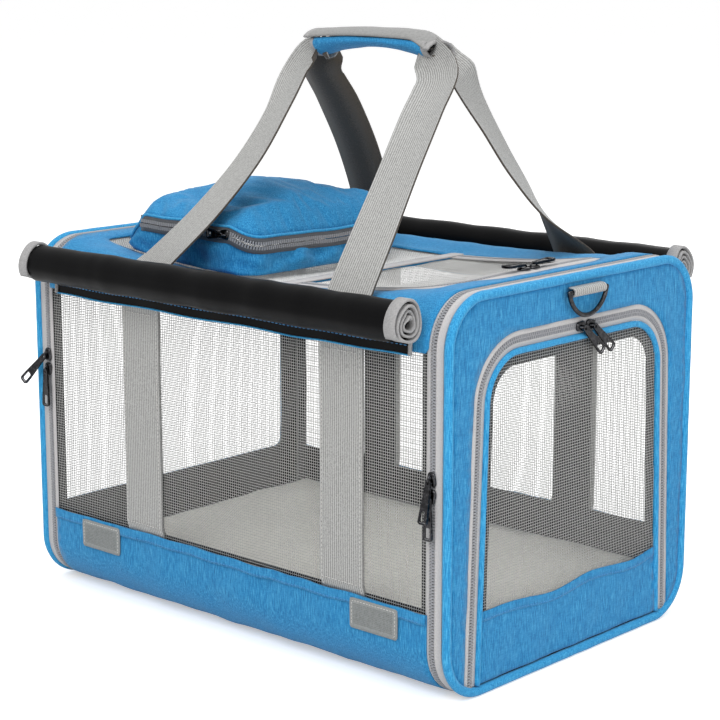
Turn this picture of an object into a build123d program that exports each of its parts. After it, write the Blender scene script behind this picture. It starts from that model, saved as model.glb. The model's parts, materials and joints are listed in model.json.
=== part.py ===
"""Soft-sided pet transport carrier: an assembly of separately named pieces.

Frame: +X towards the end with the arched door, -Y towards the front side, +Z up.
The origin is the centre of the underside.
"""

import os
from math import cos, hypot, radians, sin

from build123d import *

os.makedirs("parts", exist_ok=True)

# ---------------------------------------------------------------- driving dimensions, mm
LENGTH = 510.0
DEPTH = 340.0
HEIGHT = 335.0
CORNER_R = 45.0
CLOTH = 2.0
MESH = 1.5
GAP = 0.2

PIPE_R = 4.0
WIRE_R = 1.6
SEAM_X = 237.0
TAPE = 10.6
BODY_X = SEAM_X - TAPE - 2 * GAP
PIPE_X = LENGTH / 2 - PIPE_R

BAND_TOP = 75.0
SIDE_TOP = 288.0
PAD_TOP = 46.0
BOARD_W = 256.0
BOARD_T = 3.0

STRAP_W = 48.0
STRAP_T = 2.0
FRONT_STRAPS = (-105.0, 140.0)
REAR_STRAPS = (-118.0, 127.0)

PATCH_X = (-165.0, 177.0)
PATCH_Z = 60.0
PATCH_L = 52.0
PATCH_H = 26.0
PATCH_T = 1.0

SHADE_R = 17.0
SHADE_Y = DEPTH / 2 + 2.5 + SHADE_R
SHADE_Z = 315.0
SHADE_HALF = 230.0
SHEET_HALF = 222.0
SHEET_H = 18.0

DOOR_HALF_LOW = 138.0
DOOR_HALF_HIGH = 127.5
DOOR_TOP = 290.0
DOOR_R = 50.0
DOOR_SILL = 9.6
DOOR_ZIP_HALF = 7.0
DOOR_CLOTH_TOP = 70.0
PANEL_X = LENGTH / 2 - 5.0

LEFT_SIDE_BORDER = 16.0
LEFT_TOP_BORDER = 22.0
LEFT_WINDOW_R = 14.0
MESH_LAP = 4.0

ROOF_HINGE_X = 30.0
ROOF_DOOR_X = 222.0
ROOF_DOOR_HALF = 116.0
ROOF_DOOR_R = 60.0
ROOF_TAPE = 10.0
WINDOW_X0 = -214.0
WINDOW_X1 = ROOF_HINGE_X - 8.0

POCKET_X0 = -190.0
POCKET_X1 = -18.0
POCKET_HALF = 118.0
POCKET_R = 22.0
POCKET_WALL = 3.0
POCKET_SEAM = 350.0
POCKET_TOP = 386.0
POCKET_DOME_R = 360.0

LOOP_Y = 161.5
LOOP_Z = 321.0
LOOP_T = 3.0
BAR_Y = 6.0
BAR_Z = 505.0
GRIP_X0 = -44.0
GRIP_X1 = 96.0
GRIP_SPREAD = 26.0
LEG_TOP_W = 24.0

RING_Y = 6.0
RING_R = 2.0
RING_BAR_Z = 320.0
RING_BAR_X = 257.0
RING_HALF = 26.0
RING_DROP = 21.0
RING_LOOP_W = 44.0
RING_LOOP_H = 8.6
RING_LOOP_DEPTH = 8.8
RING_LOOP_R = 3.5

SLIDER_L = 11.5
SLIDER_W = 9.0
SLIDER_PITCH = 14.0
PULL_L = 36.0
PULL_W = 7.0
PULL_T = 1.6
PULL_LIFT = 4.2


# ---------------------------------------------------------------- shared profiles
def section(inset):
    """Rounded cross-section of the carrier, drawn on a YZ plane."""
    with Locations((0, HEIGHT / 2)):
        RectangleRounded(DEPTH - 2 * inset, HEIGHT - 2 * inset, CORNER_R - inset)


def section_wall(inset, thickness):
    """Closed wall that follows the rounded cross-section."""
    section(inset)
    with Locations((0, HEIGHT / 2)):
        RectangleRounded(
            DEPTH - 2 * (inset + thickness),
            HEIGHT - 2 * (inset + thickness),
            CORNER_R - inset - thickness,
            mode=Mode.SUBTRACT,
        )


def keep_heights(low, high):
    """Cuts the sketch on a YZ plane down to a range of heights."""
    with Locations((0, (low + high) / 2)):
        Rectangle(2 * DEPTH, high - low, mode=Mode.INTERSECT)


def door_half(z):
    """Half-width of the arched door at a height, on its zip's centre line."""
    return DOOR_HALF_LOW - (DOOR_HALF_LOW - DOOR_HALF_HIGH) * z / DOOR_TOP


def clear_of_piping():
    """Cuts the sketch on a YZ plane to the space inside the end piping."""
    with Locations((0, HEIGHT / 2)):
        RectangleRounded(
            DEPTH - 4 * PIPE_R - 2 * GAP,
            HEIGHT - 4 * PIPE_R - 2 * GAP,
            CORNER_R - 2 * PIPE_R - GAP,
            mode=Mode.INTERSECT,
        )


def arch(inset, sill, mode=Mode.ADD):
    """Outline of the arched door on a YZ plane; a positive inset is smaller."""
    top = DOOR_TOP - inset
    low = door_half(sill) - inset
    high = door_half(top) - inset
    with BuildSketch(mode=Mode.PRIVATE) as outline:
        with BuildLine():
            Polyline((-low, sill), (-high, top), (high, top), (low, sill), close=True)
        make_face()
        corners = outline.vertices().group_by(Axis.Y)[-1]
        fillet(corners, DOOR_R - inset)
    add(outline.sketch, mode=mode)


def roof_door(inset, mode=Mode.ADD):
    """Outline of the roof door on an XY plane, rounded away from its hinge."""
    width = ROOF_DOOR_X - inset - ROOF_HINGE_X - 2 * GAP
    half = ROOF_DOOR_HALF - inset
    with BuildSketch(mode=Mode.PRIVATE) as outline:
        with Locations((ROOF_HINGE_X + 2 * GAP + width / 2, 0)):
            Rectangle(width, 2 * half)
        corners = outline.vertices().group_by(Axis.X)[-1]
        fillet(corners, ROOF_DOOR_R - inset)
    add(outline.sketch, mode=mode)


def finish(builder, name):
    """Labels a finished piece and writes its file."""
    builder.part.label = name
    export_step(builder.part, "parts/" + name + ".step")


# ---------------------------------------------------------------- main shell
with BuildPart() as base_trough:
    with BuildSketch(Plane.YZ.offset(-BODY_X)):
        section_wall(0, CLOTH)
        keep_heights(-1, BAND_TOP)
    extrude(amount=2 * BODY_X)
finish(base_trough, "base_trough")

with BuildPart() as base_board:
    with Locations((0, 0, CLOTH + GAP)):
        Box(2 * BODY_X - 6, BOARD_W, BOARD_T, align=(Align.CENTER, Align.CENTER, Align.MIN))
finish(base_board, "base_board")

with BuildPart() as floor_pad:
    pad_inset = CLOTH + BOARD_T + 1.0
    with BuildSketch(Plane.YZ.offset(-BODY_X + 3)):
        section(pad_inset)
        keep_heights(0, PAD_TOP)
    extrude(amount=2 * BODY_X - 6)
finish(floor_pad, "floor_pad")

mesh_y = DEPTH / 2 - CLOTH - GAP - MESH / 2
with BuildPart() as side_mesh:
    mesh_low = BAND_TOP - 5
    mesh_high = SIDE_TOP + 4
    mesh_z = (mesh_low + mesh_high) / 2
    with Locations((0, -mesh_y, mesh_z), (0, mesh_y, mesh_z)):
        Box(2 * BODY_X, MESH, mesh_high - mesh_low)
finish(side_mesh, "side_mesh")

with BuildPart() as side_webbing:
    strap_y = DEPTH / 2 - 0.1 - STRAP_T / 2
    strap_z = (BAND_TOP + SIDE_TOP) / 2
    for side_y, places in ((-strap_y, FRONT_STRAPS), (strap_y, REAR_STRAPS)):
        with Locations(*[(x, side_y, strap_z) for x in places]):
            Box(STRAP_W, STRAP_T, SIDE_TOP - BAND_TOP - 2)
finish(side_webbing, "side_webbing")

with BuildPart() as band_patches:
    patch_y = DEPTH / 2 + 0.1 + PATCH_T / 2
    patch_spots = [(x, y, PATCH_Z) for x in PATCH_X for y in (-patch_y, patch_y)]
    with Locations(*patch_spots):
        Box(PATCH_L, PATCH_T, PATCH_H)
finish(band_patches, "band_patches")

with BuildPart() as top_frame:
    with BuildSketch(Plane.YZ.offset(-BODY_X)):
        section_wall(0, CLOTH)
        keep_heights(SIDE_TOP, HEIGHT + 1)
    extrude(amount=2 * BODY_X)
    with BuildSketch(Plane.XY.offset(HEIGHT - 2 * CLOTH)):
        roof_door(0)
    extrude(amount=3 * CLOTH, mode=Mode.SUBTRACT)
    with BuildSketch(Plane.XY.offset(HEIGHT - 2 * CLOTH)):
        with Locations(((WINDOW_X0 + WINDOW_X1) / 2, 0)):
            Rectangle(WINDOW_X1 - WINDOW_X0, 2 * ROOF_DOOR_HALF)
    extrude(amount=3 * CLOTH, mode=Mode.SUBTRACT)
finish(top_frame, "top_frame")

with BuildPart() as top_fixed_mesh:
    with Locations(((WINDOW_X0 + WINDOW_X1) / 2, 0, HEIGHT - CLOTH - GAP)):
        Box(
            WINDOW_X1 - WINDOW_X0 + 12,
            2 * ROOF_DOOR_HALF + 12,
            MESH,
            align=(Align.CENTER, Align.CENTER, Align.MAX),
        )
finish(top_fixed_mesh, "top_fixed_mesh")

with BuildPart() as top_frame_zip:
    with BuildSketch(Plane.XY.offset(HEIGHT - CLOTH + GAP)):
        roof_door(GAP)
        roof_door(ROOF_TAPE - GAP, mode=Mode.SUBTRACT)
        with Locations((ROOF_HINGE_X, 0)):
            Rectangle(4, 2 * DEPTH, mode=Mode.SUBTRACT)
    extrude(amount=1.2)
finish(top_frame_zip, "top_frame_zip")

# ---------------------------------------------------------------- roof pocket
pocket_x = (POCKET_X0 + POCKET_X1) / 2
pocket_w = POCKET_X1 - POCKET_X0
with BuildPart() as pocket_base:
    with BuildSketch(Plane.XY.offset(HEIGHT + GAP)):
        with Locations((pocket_x, 0)):
            RectangleRounded(pocket_w, 2 * POCKET_HALF, POCKET_R)
    extrude(amount=POCKET_SEAM - 4 - HEIGHT - GAP)
    offset(
        amount=-POCKET_WALL, openings=pocket_base.faces().sort_by(Axis.Z)[-1], kind=Kind.INTERSECTION
    )
finish(pocket_base, "pocket_base")

with BuildPart() as pocket_zip:
    with BuildSketch(Plane.XY.offset(POCKET_SEAM - 4 + GAP)):
        with Locations((pocket_x, 0)):
            RectangleRounded(pocket_w - 1, 2 * POCKET_HALF - 1, POCKET_R - 0.5)
            RectangleRounded(
                pocket_w - 5, 2 * POCKET_HALF - 5, POCKET_R - 2.5, mode=Mode.SUBTRACT
            )
    extrude(amount=4 - 2 * GAP)
finish(pocket_zip, "pocket_zip")


def pocket_dome(shrink, top):
    """Domed block over the pocket: upright walls under a cap cut from a sphere."""
    with BuildPart() as dome:
        with BuildSketch(Plane.XY.offset(POCKET_SEAM + GAP)):
            with Locations((pocket_x, 0)):
                RectangleRounded(
                    pocket_w - 2 * shrink, 2 * (POCKET_HALF - shrink), POCKET_R - shrink
                )
        extrude(amount=top - POCKET_SEAM)
        with Locations((pocket_x, 0, top - POCKET_DOME_R)):
            Sphere(POCKET_DOME_R, mode=Mode.INTERSECT)
    return dome.part


with BuildPart() as pocket_lid:
    add(pocket_dome(0, POCKET_TOP))
    add(pocket_dome(POCKET_WALL, POCKET_TOP - POCKET_WALL), mode=Mode.SUBTRACT)
finish(pocket_lid, "pocket_lid")

# ---------------------------------------------------------------- roof door
with BuildPart() as top_door_zip:
    with BuildSketch(Plane.XY.offset(HEIGHT - CLOTH + GAP)):
        roof_door(ROOF_TAPE + GAP)
        roof_door(2 * ROOF_TAPE, mode=Mode.SUBTRACT)
        with Locations((ROOF_HINGE_X, 0)):
            Rectangle(4, 2 * DEPTH, mode=Mode.SUBTRACT)
    extrude(amount=1.2)
finish(top_door_zip, "top_door_zip")

with BuildPart() as top_door_mesh:
    with BuildSketch(Plane.XY.offset(HEIGHT - CLOTH - GAP - MESH)):
        roof_door(ROOF_TAPE + 2)
    extrude(amount=MESH)
finish(top_door_mesh, "top_door_mesh")

# ---------------------------------------------------------------- rolled shades
for name, side in (("front", -1), ("rear", 1)):
    with BuildPart() as shade_roll:
        with BuildSketch(Plane.YZ.offset(-SHADE_HALF)):
            with Locations((side * SHADE_Y, SHADE_Z)):
                Circle(SHADE_R)
        extrude(amount=2 * SHADE_HALF)
    finish(shade_roll, name + "_shade_roll")

    with BuildPart() as shade_sheet:
        with Locations((0, side * (DEPTH / 2 + 1.5), SIDE_TOP + 9)):
            Box(2 * SHEET_HALF, 1.0, SHEET_H)
    finish(shade_sheet, name + "_shade_sheet")

# ---------------------------------------------------------------- carrying handles
reach = hypot(LOOP_Y - BAR_Y, BAR_Z - LOOP_Z)
lean_sin = (LOOP_Y - BAR_Y) / reach
lean_cos = (BAR_Z - LOOP_Z) / reach
TOP_X0 = GRIP_X0 - GRIP_SPREAD
TOP_X1 = GRIP_X1 + GRIP_SPREAD
for name, side, places in (("front", -1, FRONT_STRAPS), ("rear", 1, REAR_STRAPS)):
    lean = Plane(
        origin=(0, side * LOOP_Y, LOOP_Z),
        x_dir=(1, 0, 0),
        z_dir=(0, side * lean_cos, lean_sin),
    )
    uphill = -side
    with BuildPart() as handle_strap:
        half = STRAP_W / 2
        left, right = places
        with BuildSketch(lean):
            with BuildLine():
                Polyline(
                    (left - half, 0),
                    (left + half, 0),
                    (TOP_X0 + LEG_TOP_W, uphill * reach),
                    (TOP_X0, uphill * reach),
                    close=True,
                )
            make_face()
            with BuildLine():
                Polyline(
                    (right - half, 0),
                    (right + half, 0),
                    (TOP_X1, uphill * reach),
                    (TOP_X1 - LEG_TOP_W, uphill * reach),
                    close=True,
                )
            make_face()
        extrude(amount=LOOP_T / 2, both=True)
        with Locations(((TOP_X0 + TOP_X1) / 2, side * BAR_Y, BAR_Z)):
            Box(TOP_X1 - TOP_X0, 10, 6)
    finish(handle_strap, name + "_handle_strap")


def grip_wrap(inner, outer, start, end):
    """Curved pad around the two bars, between two angles from +Y towards +Z."""
    with BuildPart() as wrap:
        with BuildSketch(Plane.YZ.offset(GRIP_X0)):
            with Locations((0, BAR_Z)):
                Circle(outer)
                Circle(inner, mode=Mode.SUBTRACT)
                sweep_angle = end - start
                middle = radians(start + sweep_angle / 2)
                far = 3 * outer
                with BuildSketch(mode=Mode.PRIVATE) as wedge:
                    with BuildLine():
                        first = (far * cos(radians(start)), far * sin(radians(start)))
                        last = (far * cos(radians(end)), far * sin(radians(end)))
                        crown = (far * cos(middle), far * sin(middle))
                        rim = ThreePointArc(first, crown, last)
                        Polyline(rim @ 1, (0, 0), rim @ 0)
                    make_face()
                add(wedge.sketch, mode=Mode.INTERSECT)
        extrude(amount=GRIP_X1 - GRIP_X0)
    return wrap.part


with BuildPart() as grip_pad:
    add(grip_wrap(12.2, 15.0, 160, 328))
finish(grip_pad, "grip_pad")

with BuildPart() as grip_flap:
    add(grip_wrap(16.0, 19.0, -20, 150))
finish(grip_flap, "grip_flap")

# ---------------------------------------------------------------- end panels
for name, side in (("right", 1), ("left", -1)):
    with BuildPart() as body_zip:
        with BuildSketch(Plane.YZ.offset(side * (BODY_X + GAP))):
            section_wall(CLOTH, 1.5)
        extrude(amount=side * TAPE)
    finish(body_zip, name + "_body_zip")

    with BuildPart() as end_zip:
        with BuildSketch(Plane.YZ.offset(side * (SEAM_X + GAP))):
            section_wall(CLOTH, 1.5)
        extrude(amount=side * (PIPE_X - PIPE_R - SEAM_X - 2 * GAP))
    finish(end_zip, name + "_end_zip")

    with BuildSketch(Plane.YZ.offset(side * PIPE_X)) as rim:
        section(PIPE_R)
    rim_path = rim.sketch.faces()[0].outer_wire()
    rim_start = Plane(origin=rim_path @ 0, z_dir=rim_path % 0)
    with BuildPart() as end_piping:
        with BuildSketch(rim_start):
            Circle(PIPE_R)
            Circle(WIRE_R + GAP, mode=Mode.SUBTRACT)
        sweep(path=rim_path)
    finish(end_piping, name + "_end_piping")

    with BuildPart() as end_hoop:
        with BuildSketch(rim_start):
            Circle(WIRE_R)
        sweep(path=rim_path)
    finish(end_hoop, name + "_end_hoop")

    with BuildPart() as ring_loop:
        loop_x = side * (PANEL_X + CLOTH + GAP)
        with Locations((loop_x + side * RING_LOOP_DEPTH / 2, RING_Y, RING_BAR_Z)):
            Box(RING_LOOP_DEPTH, RING_LOOP_W, RING_LOOP_H)
        corners = ring_loop.edges().filter_by(Axis.Y).group_by(Axis.X)[-1 if side > 0 else 0]
        fillet(corners, RING_LOOP_R)
        with BuildSketch(Plane.XZ.offset(-30)):
            with Locations((side * RING_BAR_X, RING_BAR_Z)):
                Circle(RING_R + GAP)
        extrude(amount=60, mode=Mode.SUBTRACT)
    finish(ring_loop, name + "_ring_loop")

    with BuildPart() as d_ring:
        with BuildLine(Plane.YZ.offset(side * RING_BAR_X)) as ring_path:
            ThreePointArc(
                (RING_Y - RING_HALF, RING_BAR_Z),
                (RING_Y, RING_BAR_Z - RING_DROP),
                (RING_Y + RING_HALF, RING_BAR_Z),
            )
        ring_start = Plane(origin=ring_path.line @ 0, z_dir=ring_path.line % 0)
        with BuildSketch(ring_start):
            Circle(RING_R)
        sweep(path=ring_path.line)
        with Locations(Location((side * RING_BAR_X, RING_Y, RING_BAR_Z), (90, 0, 0))):
            Cylinder(RING_R, 2 * RING_HALF)
        ring_ends = [
            (side * RING_BAR_X, RING_Y - RING_HALF, RING_BAR_Z),
            (side * RING_BAR_X, RING_Y + RING_HALF, RING_BAR_Z),
        ]
        with Locations(*ring_ends):
            Sphere(RING_R)
    finish(d_ring, name + "_d_ring")

with BuildPart() as right_end_panel:
    with BuildSketch(Plane.YZ.offset(PANEL_X)):
        section(2 * PIPE_R + GAP)
        arch(-DOOR_ZIP_HALF - GAP, -5, mode=Mode.SUBTRACT)
    extrude(amount=CLOTH)
finish(right_end_panel, "right_end_panel")

with BuildPart() as right_door_frame_zip:
    with BuildSketch(Plane.YZ.offset(PANEL_X)):
        arch(-DOOR_ZIP_HALF, DOOR_SILL)
        arch(-GAP, 0, mode=Mode.SUBTRACT)
        clear_of_piping()
    extrude(amount=1.5)
finish(right_door_frame_zip, "right_door_frame_zip")

with BuildPart() as right_door_zip:
    with BuildSketch(Plane.YZ.offset(PANEL_X)):
        arch(GAP, DOOR_SILL)
        arch(DOOR_ZIP_HALF, 0, mode=Mode.SUBTRACT)
        clear_of_piping()
    extrude(amount=1.5)
finish(right_door_zip, "right_door_zip")

with BuildPart() as right_door_piping:
    trim_r = 2.8
    trim_in = DOOR_ZIP_HALF + GAP + trim_r
    trim_low = door_half(DOOR_SILL) - trim_in
    trim_high = door_half(DOOR_TOP - trim_in) - trim_in
    with BuildLine(Plane.YZ.offset(PANEL_X + 1)) as trim_path:
        FilletPolyline(
            (-trim_low, DOOR_SILL),
            (-trim_high, DOOR_TOP - trim_in),
            (trim_high, DOOR_TOP - trim_in),
            (trim_low, DOOR_SILL),
            radius=DOOR_R - trim_in,
        )
    with BuildSketch(Plane(origin=trim_path.line @ 0, z_dir=trim_path.line % 0)):
        Circle(trim_r)
    sweep(path=trim_path.line)
finish(right_door_piping, "right_door_piping")

window_in = DOOR_ZIP_HALF + 2 * trim_r + 2 * GAP
with BuildPart() as right_door_panel:
    with BuildSketch(Plane.YZ.offset(PANEL_X)):
        arch(window_in, DOOR_SILL)
        keep_heights(0, DOOR_CLOTH_TOP)
    extrude(amount=CLOTH)
finish(right_door_panel, "right_door_panel")

with BuildPart() as right_door_mesh:
    with BuildSketch(Plane.YZ.offset(PANEL_X)):
        arch(window_in, DOOR_SILL)
        keep_heights(DOOR_CLOTH_TOP + GAP, HEIGHT)
    extrude(amount=MESH)
finish(right_door_mesh, "right_door_mesh")

left_window_z = (BAND_TOP + HEIGHT - LEFT_TOP_BORDER) / 2
left_window_w = DEPTH - 2 * LEFT_SIDE_BORDER
left_window_h = HEIGHT - LEFT_TOP_BORDER - BAND_TOP
with BuildPart() as left_end_panel:
    with BuildSketch(Plane.YZ.offset(-PANEL_X - CLOTH)):
        section(2 * PIPE_R + GAP)
        with BuildSketch(mode=Mode.PRIVATE) as window:
            with Locations((0, left_window_z)):
                RectangleRounded(left_window_w, left_window_h, LEFT_WINDOW_R)
        add(window.sketch, mode=Mode.SUBTRACT)
    extrude(amount=CLOTH)
finish(left_end_panel, "left_end_panel")

with BuildPart() as left_end_mesh:
    with BuildSketch(Plane.YZ.offset(-PANEL_X + GAP)):
        with Locations((0, left_window_z)):
            RectangleRounded(
                left_window_w + 2 * MESH_LAP, left_window_h + 2 * MESH_LAP, LEFT_WINDOW_R + 2
            )
    extrude(amount=MESH)
finish(left_end_mesh, "left_end_mesh")


# ---------------------------------------------------------------- zip sliders and pulls
def unit(v):
    """Vector of length one."""
    return Vector(*v).normalized()


def slider(spot, outward, travel):
    """Zip slider: a plate with a bridge, resting just above the teeth."""
    face = Plane(origin=spot, x_dir=travel, z_dir=outward)
    with BuildPart() as body:
        with BuildSketch(face):
            RectangleRounded(SLIDER_L, SLIDER_W, 3.0)
        extrude(amount=1.6)
        with BuildSketch(face.offset(1.6)):
            RectangleRounded(SLIDER_L - 3, 3.2, 1.4)
        extrude(amount=1.5)
    return body.part


def pull(spot, outward, direction, tilt, length):
    """Pull tab: a rounded bar with a slot, hanging from the slider's bridge."""
    away = unit(direction) * cos(radians(tilt)) + unit(outward) * sin(radians(tilt))
    across = unit(direction).cross(unit(outward))
    up = across.cross(away) * -1.0
    if up.dot(unit(outward)) < 0:
        up = up * -1.0
    pivot = Vector(*spot) + unit(outward) * PULL_LIFT
    flat = Plane(origin=pivot, x_dir=away, z_dir=up)
    with BuildPart() as tab:
        with BuildSketch(flat):
            with Locations((length / 2, 0)):
                RectangleRounded(length, PULL_W, 2.2)
            with Locations((length * 0.32, 0)):
                SlotOverall(length * 0.42, 2.6, mode=Mode.SUBTRACT)
        extrude(amount=PULL_T / 2, both=True)
    return tab.part


tape_top = DEPTH / 2 - CLOTH + 0.9
pocket_front = POCKET_HALF + 0.4
door_face = PANEL_X + CLOTH + 0.3
roof_face = HEIGHT + 0.3
roof_run = ROOF_DOOR_X - ROOF_TAPE
FRONT = (0, -1, 0)
UP = (0, 0, 1)
DOWN = (0, 0, -1)
OUT = (1, 0, 0)
LATERAL = (0, 1, 0)
SLANT = (0, sin(radians(48)), -cos(radians(48)))
SWUNG = (-sin(radians(38)), 0, -cos(radians(38)))
ZIP_FITTINGS = (
    ("right_upper", (SEAM_X, -tape_top, 188.0), FRONT, UP, DOWN, 12, PULL_L),
    ("right_lower", (SEAM_X, -tape_top, 188.0 - SLIDER_PITCH), FRONT, UP, DOWN, 1, PULL_L),
    ("left_upper", (-SEAM_X, -tape_top, 224.0), FRONT, UP, SWUNG, 18, PULL_L),
    ("left_lower", (-SEAM_X, -tape_top, 224.0 - SLIDER_PITCH), FRONT, UP, DOWN, 1, PULL_L),
    ("door_front", (door_face, 2.0, DOOR_TOP - 1), OUT, LATERAL, SLANT, 2, PULL_L),
    ("door_rear", (door_face, 2.0 + SLIDER_PITCH, DOOR_TOP - 1), OUT, LATERAL, SLANT, 2, PULL_L),
    ("roof_front", (roof_run, -24.0, roof_face), UP, LATERAL, (0, -1, 0), 2, 26.0),
    ("roof_rear", (roof_run, -24.0 + SLIDER_PITCH, roof_face), UP, LATERAL, (0, 1, 0), 2, 26.0),
    ("pocket", (-48.0, -pocket_front, POCKET_SEAM), FRONT, (1, 0, 0), (-1, 0, 0), 4, 18.0),
)
for name, spot, outward, travel, direction, tilt, length in ZIP_FITTINGS:
    with BuildPart() as zip_slider:
        add(slider(spot, outward, travel))
    with BuildPart() as zip_pull:
        add(pull(spot, outward, direction, tilt, length))
    if name == "pocket":
        with BuildPart() as pocket_slider:
            add(zip_slider.part)
            add(zip_pull.part)
        finish(pocket_slider, "pocket_slider")
    else:
        finish(zip_slider, name + "_slider")
        finish(zip_pull, name + "_pull")
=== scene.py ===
"""Looks of the soft-sided pet transport carrier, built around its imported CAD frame.

Lengths are millimetres in the CAD frame until a mesh is made; MM turns them into metres.
"""

import json
import math

import bmesh
import bpy
import numpy as np
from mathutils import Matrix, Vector, geometry, noise


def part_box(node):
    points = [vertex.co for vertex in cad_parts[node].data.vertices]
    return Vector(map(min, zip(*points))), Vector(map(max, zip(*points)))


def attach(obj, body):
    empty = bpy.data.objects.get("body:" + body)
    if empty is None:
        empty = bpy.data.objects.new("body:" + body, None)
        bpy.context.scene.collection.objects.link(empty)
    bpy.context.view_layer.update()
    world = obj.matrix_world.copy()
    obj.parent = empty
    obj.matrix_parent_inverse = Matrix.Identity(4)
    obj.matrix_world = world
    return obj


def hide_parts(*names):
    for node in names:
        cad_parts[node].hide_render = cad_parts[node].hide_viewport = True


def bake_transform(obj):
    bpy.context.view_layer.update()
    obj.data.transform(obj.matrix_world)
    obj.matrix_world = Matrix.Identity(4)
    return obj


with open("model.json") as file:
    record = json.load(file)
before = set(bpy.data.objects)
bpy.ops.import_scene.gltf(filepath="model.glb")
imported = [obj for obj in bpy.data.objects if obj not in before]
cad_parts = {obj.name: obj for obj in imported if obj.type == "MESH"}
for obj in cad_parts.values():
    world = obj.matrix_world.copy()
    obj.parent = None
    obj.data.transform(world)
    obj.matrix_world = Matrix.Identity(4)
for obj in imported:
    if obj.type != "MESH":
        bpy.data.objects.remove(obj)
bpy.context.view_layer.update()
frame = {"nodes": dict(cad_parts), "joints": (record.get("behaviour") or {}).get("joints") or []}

MM = 0.001


def box_mm(node):
    """Lowest and highest corner of a CAD node, in millimetres."""
    low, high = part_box(node)
    return np.array(low) / MM, np.array(high) / MM


# ---------------------------------------------------------------- places taken from the frame
END_LOW, END_HIGH = box_mm("right_end_piping")
HALF_Y = END_HIGH[1]
HEIGHT = END_HIGH[2]
END_X = END_HIGH[0]
PIPE_R = (END_HIGH[0] - END_LOW[0]) / 2
PIPE_X = END_X - PIPE_R
CORNER_R = 45.0
BAND_TOP = box_mm("base_trough")[1][2]
SIDE_TOP = box_mm("top_frame")[0][2]
SEAM_X = box_mm("right_body_zip")[1][0] + 0.2
BODY_X = SEAM_X - 5.0
PANEL_X = box_mm("right_end_panel")[0][0]
PAD_LOW, PAD_HIGH = box_mm("floor_pad")
ROLL_LOW, ROLL_HIGH = box_mm("front_shade_roll")
ROLL_R = (ROLL_HIGH[2] - ROLL_LOW[2]) / 2
ROLL_Y = -(ROLL_HIGH[1] + ROLL_LOW[1]) / 2
ROLL_Z = (ROLL_HIGH[2] + ROLL_LOW[2]) / 2
ROLL_TUCK = 0.4
POCKET_LOW, POCKET_HIGH = box_mm("pocket_base")
LID_LOW, LID_HIGH = box_mm("pocket_lid")
ROOF_LOW, ROOF_HIGH = box_mm("top_frame_zip")
GRIP_LOW, GRIP_HIGH = box_mm("grip_flap")
GRIP_Z = (GRIP_HIGH[2] + box_mm("grip_pad")[0][2] - 4.0) / 2
JOINTS = {joint["name"]: joint for joint in frame["joints"]}


# ---------------------------------------------------------------- materials
def srgb(r, g, b):
    """Linear colour from 8-bit screen values."""
    def lin(c):
        c = c / 255
        return c / 12.92 if c <= 0.04045 else ((c + 0.055) / 1.055) ** 2.4
    return (lin(r), lin(g), lin(b), 1.0)


def new_material(name, roughness=0.8, metallic=0.0, sheen=0.0, specular=0.3):
    """Material with its node tree and main shader."""
    material = bpy.data.materials.new(name)
    material.use_nodes = True
    tree = material.node_tree
    shader = tree.nodes["Principled BSDF"]
    shader.inputs["Roughness"].default_value = roughness
    shader.inputs["Metallic"].default_value = metallic
    shader.inputs["Sheen Weight"].default_value = sheen
    shader.inputs["Specular IOR Level"].default_value = specular
    return material, tree, shader


def position(tree, scale=(1, 1, 1), source="Object"):
    """Texture position, in metres, stretched along each axis."""
    where = tree.nodes.new("ShaderNodeTexCoord")
    mapping = tree.nodes.new("ShaderNodeMapping")
    mapping.inputs["Scale"].default_value = scale
    tree.links.new(where.outputs[source], mapping.inputs["Vector"])
    return mapping.outputs["Vector"]


def noise_node(tree, scale, detail=2.0, stretch=(1, 1, 1), rough=0.5):
    """Noise value at a scale in cycles per metre."""
    node = tree.nodes.new("ShaderNodeTexNoise")
    node.inputs["Scale"].default_value = scale
    node.inputs["Detail"].default_value = detail
    node.inputs["Roughness"].default_value = rough
    tree.links.new(position(tree, stretch), node.inputs["Vector"])
    return node.outputs["Fac"]


def ramp(tree, value, stops):
    """Colour ramp over a value: stops are (place, colour)."""
    node = tree.nodes.new("ShaderNodeValToRGB")
    elements = node.color_ramp.elements
    for extra in range(len(stops) - 2):
        elements.new(0.5)
    for element, (place, colour) in zip(elements, stops):
        element.position = place
        element.color = colour
    tree.links.new(value, node.inputs["Fac"])
    return node.outputs["Color"]


def maths(tree, operation, a, b):
    """Math node on two values, each a socket or a number."""
    node = tree.nodes.new("ShaderNodeMath")
    node.operation = operation
    for slot, item in zip(node.inputs, (a, b)):
        if isinstance(item, (int, float)):
            slot.default_value = item
        else:
            tree.links.new(item, slot)
    return node.outputs[0]


def mix(tree, fac, a, b, blend="MIX"):
    """Mixes two colours."""
    node = tree.nodes.new("ShaderNodeMix")
    node.data_type = "RGBA"
    node.blend_type = blend
    for key, item in (("Factor", fac), ("A", a), ("B", b)):
        slot = [s for s in node.inputs if s.name == key and (key == "Factor" or s.type == "RGBA")][0]
        if isinstance(item, (int, float, tuple)):
            slot.default_value = item
        else:
            tree.links.new(item, slot)
    return [s for s in node.outputs if s.type == "RGBA"][0]


def bump(tree, shader, height, strength, distance):
    """Bumps the shader's surface by a height value."""
    node = tree.nodes.new("ShaderNodeBump")
    node.inputs["Strength"].default_value = strength
    node.inputs["Distance"].default_value = distance
    tree.links.new(height, node.inputs["Height"])
    tree.links.new(node.outputs["Normal"], shader.inputs["Normal"])


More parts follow.
